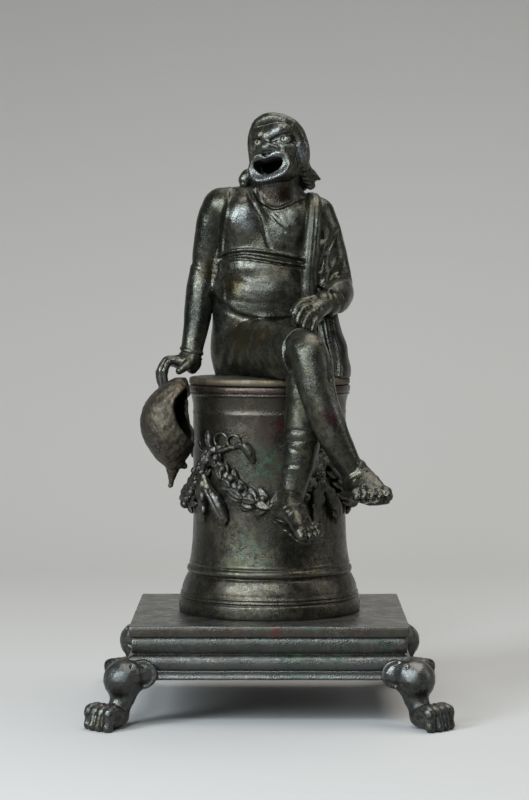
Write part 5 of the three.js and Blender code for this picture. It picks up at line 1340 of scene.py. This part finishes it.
# Eyes
# Inlaid in silver, each with a pupil drilled deep so that it reads dark. One ball is modelled and set in
# both of the mask's sockets.
EYE_WAX = 0.08
eye_silver, eye_inputs = start_material("eye_silver")
eye_place = object_place()
eye_wear = noise_at(eye_place, 900, 4)
Socket.feed(
    eye_inputs["Base Color"], eye_wear.between(0.35, 0.65).tint((0.27, 0.26, 0.22), (0.15, 0.14, 0.1)))
Socket.feed(eye_inputs["Roughness"], eye_wear * 0.3 + 0.25)
eye_inputs["Metallic"].default_value = 0.55
eye = Clay((-1.6, -1.6, -1.6), (1.6, 1.6, 1.6), EYE_WAX)
eye.add(ball((0, 0, 0), (1.5, 1.3, 1.15)))
eye.cut(limb([(-0.35, -2, 0.35, 0.55), (-0.15, -0.2, 0.15, 0.5)]), 0.05)
eye.crease([(0.75 * math.cos(t) - 0.3, -1.1, 0.75 * math.sin(t) + 0.2)
            for t in np.linspace(0, 2 * math.pi, 17)], 0.16, 0.14)
for hand, centre in EYES.items():
    made = eye.skinned("eyeball_" + hand, eye_silver, ON_HEAD @ Matrix.Translation(centre))
    finish_piece(made, "figure_lid", "eye_inlay_" + hand)


# Hands
# Modelled finger by finger, with knuckles and nails. The right one is propped on the lid's edge and pinches
# the pouch's neck; the left one lies half closed on the knee.
HAND_WAX = 0.25


def finger(wax, points, nail):
    """A finger of three joints, with a swollen knuckle at each, and a nail that looks along nail."""
    wax.add(limb(points, step=0.8), 0.35)
    for place in points[1:-1]:
        wax.add(ball(place[:3], np.array((1, 1, 1)) * place[3] * 1.12), 0.3)
    tip, before = np.array(points[-1][:3]), np.array(points[-2][:3])
    along = (tip - before) / np.linalg.norm(tip - before)
    bed = tip + np.array(nail) * points[-1][3] * 0.85
    wax.crease([bed - along * 1.3, bed - along * 0.2], 0.5, 0.22)
    wax.crease([bed - along * 1.9, bed - along * 1.7], 0.5, -0.15)


right_hand = Clay((-47, -17, -9), (-24, 2, 14), HAND_WAX)
right_hand.add(limb([
    (-30.6, -8, 8.6, 3.2), (-31.2, -8, 7.6, 3.7), (-32.6, -8, 7.3, 3.8),
    (-34.6, -8, 6.6, 3.5)], (1, 1.3, 0.9)))
right_hand.add(limb([(-33, -8, 7.0, 3.0), (-36.6, -8, 6.8, 2.4), (-38.6, -8, 6.6, 2.0)], (1, 1.9, 0.9)), 1.2)
right_hand.add(limb([(-30.7, -8, 8.0, 3.6), (-30.4, -8, 6, 3.5), (-30.6, -8, 4.3, 2.4)], (0.95, 1.3, 1)), 1.5)
for points, nail in (
        ([(-35.6, -11.4, 7.3, 1.5), (-39.4, -11.7, 6.9, 1.5), (-41.2, -11.7, 3.2, 1.35),
          (-40.7, -11.5, -2.8, 1.15)], (-1, -0.3, 0)),
        ([(-36, -8.9, 7.9, 1.5), (-40.6, -9, 7.2, 1.5), (-42.9, -9.1, 3, 1.4),
          (-41.9, -9.1, -4.2, 1.15)], (-1, 0, 0)),
        ([(-36, -6.4, 7.6, 1.5), (-41.2, -6.4, 6.6, 1.45), (-43.6, -6.5, 2.4, 1.3),
          (-42.9, -6.8, -3.4, 1.1)], (-1, 0, 0)),
        ([(-35.8, -4.2, 7, 1.4), (-40.2, -4, 5.8, 1.3), (-42.4, -4, 1.8, 1.2),
          (-42.1, -4.4, -3, 1.0)], (-1, 0.3, 0)),
        ([(-29.8, -10.4, 7.6, 2.3), (-32.2, -13.0, 5.8, 1.9), (-35.4, -13.8, 3.4, 1.5)], (0, -0.7, 0.7))):
    finger(right_hand, points, nail)
for across in (-10.2, -7.6, -5.2):
    right_hand.crease([(-34, across, 9.6), (-37.5, across, 9.0), (-40.4, across, 7.6)], 0.45, 0.4)
right_hand.swell(0.05, 5)
HAND_SHIFT = Matrix.Translation((0.5, 0, -0.5))
right_skin = right_hand.skinned("propped_hand", figure_bronze, ON_LID @ HAND_SHIFT)
finish_piece(right_skin, "figure_lid", "right_hand")

left_hand = Clay((4, -43, 13), (28, -14, 36), HAND_WAX)
left_hand.add(limb([
    (21.2, -19.4, 29, 4.2), (20.2, -22.6, 28.4, 4.2), (18.8, -26, 27.6, 4.4),
    (17.2, -29.6, 26.4, 4.2)], (1.05, 1.05, 0.85)))
for points, nail in (
        ([(15.8, -29.6, 29.2, 1.6), (11.9, -33.4, 28.8, 1.6), (9.6, -35.8, 25.4, 1.35),
          (10.0, -36.0, 23.6, 1.2)], (-0.5, -0.8, 0)),
        ([(16.4, -31.2, 27.6, 1.6), (12.6, -36.0, 26.6, 1.6), (11.0, -37.6, 22.4, 1.35),
          (11.8, -37.0, 20.8, 1.2)], (-0.4, -0.9, 0)),
        ([(17.4, -32.2, 25.6, 1.55), (14.6, -37.2, 24.2, 1.55), (13.4, -38.6, 20.2, 1.3),
          (14.2, -37.8, 18.8, 1.15)], (-0.2, -1, 0)),
        ([(18.8, -32, 23.6, 1.45), (17.2, -36.6, 22.2, 1.4), (16.6, -38, 19, 1.2),
          (17.2, -37.2, 17.8, 1.05)], (0, -1, 0)),
        ([(16.8, -25.6, 30.6, 1.9), (12.4, -29.0, 29.6, 1.6), (8.8, -31.6, 26.4, 1.3)], (-0.6, -0.3, 0.7))):
    finger(left_hand, points, nail)
left_hand.swell(0.05, 5)
left_skin = left_hand.skinned("resting_hand", figure_bronze, ON_LID)
finish_piece(left_skin, "figure_lid", "left_hand")


# Feet
# Bare toes in thin-soled sandals, whose straps cross over the instep and round the ankle.
FOOT_SIZE = 1.16


def foot_frame(heel, toes):
    """Frame with its origin at the heel on the sole, +X to the toes and +Z out of the instep. A millimetre of
    the model is FOOT_SIZE in it."""
    along = (Vector(toes) - Vector(heel)).normalized()
    across = Vector((0, 0, 1)).cross(along).normalized()
    made = Matrix.Translation(heel)
    for column, axis in enumerate((along, across, along.cross(across))):
        made.col[column].xyz = axis
    return ON_LID @ made @ Matrix.Scale(FOOT_SIZE, 4)


def model_foot(ankle, inner):
    """A foot in its own frame, with its big toe on the inner side, 1 or -1. Its shank leaves to the ankle."""
    foot = Clay((-6, -9, -2.5), (27, 9, 14), HAND_WAX)
    foot.add(limb([
        (2.4, 0, 4.2, 3.7), (5.5, 0, 5.4, 4.0), (ankle[0] * 0.5 + 2, ankle[1] * 0.5, 7.6, 4.1),
        (*ankle, 4.5)]))
    foot.add(limb([
        (1.4, 0, 3.0, 3.2), (6, 0.2 * inner, 4.8, 3.7), (11.5, 0.4 * inner, 4.3, 2.9),
        (16, 0.4 * inner, 2.8, 2.1)], (1, 1.35, 1)), 1.2)
    foot.add(limb([
        (6, 0.8 * inner, 6.6, 3.2), (12, 2.4 * inner, 5.0, 2.5), (17, 3.6 * inner, 3.2, 2.0)]), 1.5)
    foot.add(limb([
        (1.2, 0, 0.3, 0.9), (7, -0.2 * inner, 0.3, 0.9), (14, 0.2 * inner, 0.3, 0.9),
        (19.2, 0.4 * inner, 0.3, 0.9)], (2.2, 5.2, 1)), 0.5)
    for side, length, radius in (
            (4.3, 21.4, 1.75), (1.5, 21.4, 1.45), (-1.0, 20.6, 1.4), (-3.2, 19.4, 1.35),
            (-5.1, 17.8, 1.25)):
        lift = radius + 0.6
        across = side * inner
        finger(foot, [
            (13.6, across * 0.74, 3.2, radius), (length - 3.2, across * 0.97, lift + 0.9, radius * 1.05),
            (length - radius, across, lift, radius)], (0, 0, 1))
    for side in (2.9, 0.2, -2.2, -4.4):
        foot.crease([
            (13.5, side * inner * 0.8, 5.2), (17, side * inner * 0.95, 3.6),
            (21, side * inner, 1.8)], 0.3, 0.55)
    # Straps: one from between the toes to both sides of the heel, one round the ankle and one over the toes.
    for hand in (-1, 1):
        foot.crease([
            (15.6, 1.6 * inner, 5.4), (12, hand * 3.0 + 0.6, 7.2), (7, hand * 5.6, 5.4),
            (3, hand * 5.0, 3.6)], 0.6, -0.3)
        foot.crease([(9.4, 0.4, 9.0), (6.4, hand * 4.6, 6.6), (1.2, hand * 4.6, 5.0)], 0.6, -0.35)
    foot.swell(0.05, 5)
    return foot


for hand, inner, heel, toes, ankle in (
        ("right", 1, (31.6, -39.6, -42.6), (39.0, -60.6, -44.6), (32.4, -45.4, -34)),
        ("left", -1, (3.4, -41.4, -51.4), (14.4, -57, -58.4), (8, -42.4, -43.4))):
    place = foot_frame(heel, toes)
    local = place.inverted() @ (ON_LID @ Vector(ankle))
    skin = model_foot(tuple(local), inner).skinned("sandalled_foot_" + hand, figure_bronze, place)
    finish_piece(skin, "figure_lid", hand + "_foot")


# Pouch
# A stiff hollow bag, cast with the figure: pinched at the neck, open towards the altar, its corner knotted
# into a spout below. Its skin is left rough and brown.
POUCH_WALL = 1.4
POUCH_WAX = 0.33
pouch_bronze = patina(
    "pouch_bronze", (0.075, 0.062, 0.045), (0.05, 0.046, 0.034), (0.3, 0.5), green=0.35, red=0.2,
    spots=from_lid([(-47, -20, -21, 5, 1)]), pitting=1.6)
pouch_sections = [
    [-34.8, -36.4, -16, 2.9, 3.4], [-32.1, -37.8, -16, 5.2, 6.0], [-28.4, -38.1, -16, 7.9, 9.2],
    [-23.7, -38.7, -16, 10.0, 11.6], [-18.4, -39.7, -16, 10.3, 12.2], [-13.3, -39.8, -16, 9.8, 11.8],
    [-8.6, -38.9, -15.6, 8.6, 10.6], [-3.9, -37.0, -15, 6.2, 8.2], [-1.4, -35.6, -14.6, 4.2, 6.0],
    [0.2, -34.6, -14.4, 2.2, 3.8]]
MOUTH_RIM = [
    (-31.2, 1.4), (-32.0, -2.6), (-34.2, -5.2), (-36.2, -7.4), (-36.9, -9.8), (-36.6, -12.8),
    (-35.4, -16.6), (-33.2, -20.4), (-29.4, -24.9), (-24.6, -28)]
# The mouth is cut to its rim in front of MOUTH_BACK, and further inside the rim it goes back to DEEP_BACK.
MOUTH_BACK = -13
DEEP_BACK = -10
DEEP_INSET = 3.4
pouch = Clay((-52, -30, -44.5), (-24, -2, 3), POUCH_WAX)
pouch.add(stack(pouch_sections))
# The hollow keeps off the closed lower end, and ends below the neck.
END_WALL = 0.9
inner = [[z + (END_WALL if z < -30 else 0), cx, cy, max(0.8, a - POUCH_WALL), max(0.8, b - POUCH_WALL)]
         for z, cx, cy, a, b in pouch_sections[:-2]]
pouch.cut(stack(inner))
x, y, z = np.meshgrid(*pouch.axes, indexing="ij", sparse=True)
away, side = path_distance(smooth_path(MOUTH_RIM, 0.6), (x, z))
opening = np.where(side > 0, -away, away)
pouch.field = np.maximum(pouch.field, -np.maximum(opening, y - MOUTH_BACK))
pouch.field = np.maximum(pouch.field, -np.maximum(opening + DEEP_INSET, y - DEEP_BACK)).astype(np.float32)
rows = np.array(pouch_sections)
heights = rows[:, 0]
rim_points = []
for rim_x, rim_z in smooth_path(MOUTH_RIM[1:-1], 1.0):
    cx, cy, a, b = (float(through(heights, rows[:, i], rim_z)) for i in range(1, 5))
    bulge = math.sqrt(max(0.02, 1 - ((rim_x - cx) / a) ** 2))
    rim_points.append((rim_x - 0.5, cy - b * bulge, rim_z))
pouch.crease(rim_points, 0.9, -0.6)
pouch.crease([(px - 1.7, py, pz) for px, py, pz in rim_points], 0.6, 0.3)
pouch.add(limb([
    (-37.4, -16, -33.6, 3.4), (-37.6, -16, -36.4, 2.0), (-38.0, -16, -39.2, 1.2),
    (-38.2, -16, -41.4, 0.8)]), 0.8)
pouch.add(ball((-38.3, -16, -41.6), (1.0, 1.0, 0.9)), 0.2)
pouch.add(ball((-33.2, -16, -33.8), (1.5, 1.6, 1.4)), 0.5)
pouch.stroke([(-37, -3.6), (-39.8, -5.4), (-42.6, -7.4)], 0.9, 0.35, -8)
pouch.swell(0.12, 4)
finish_piece(pouch.skinned("hollow_pouch", pouch_bronze, ON_LID), "figure_lid", "held_pouch")
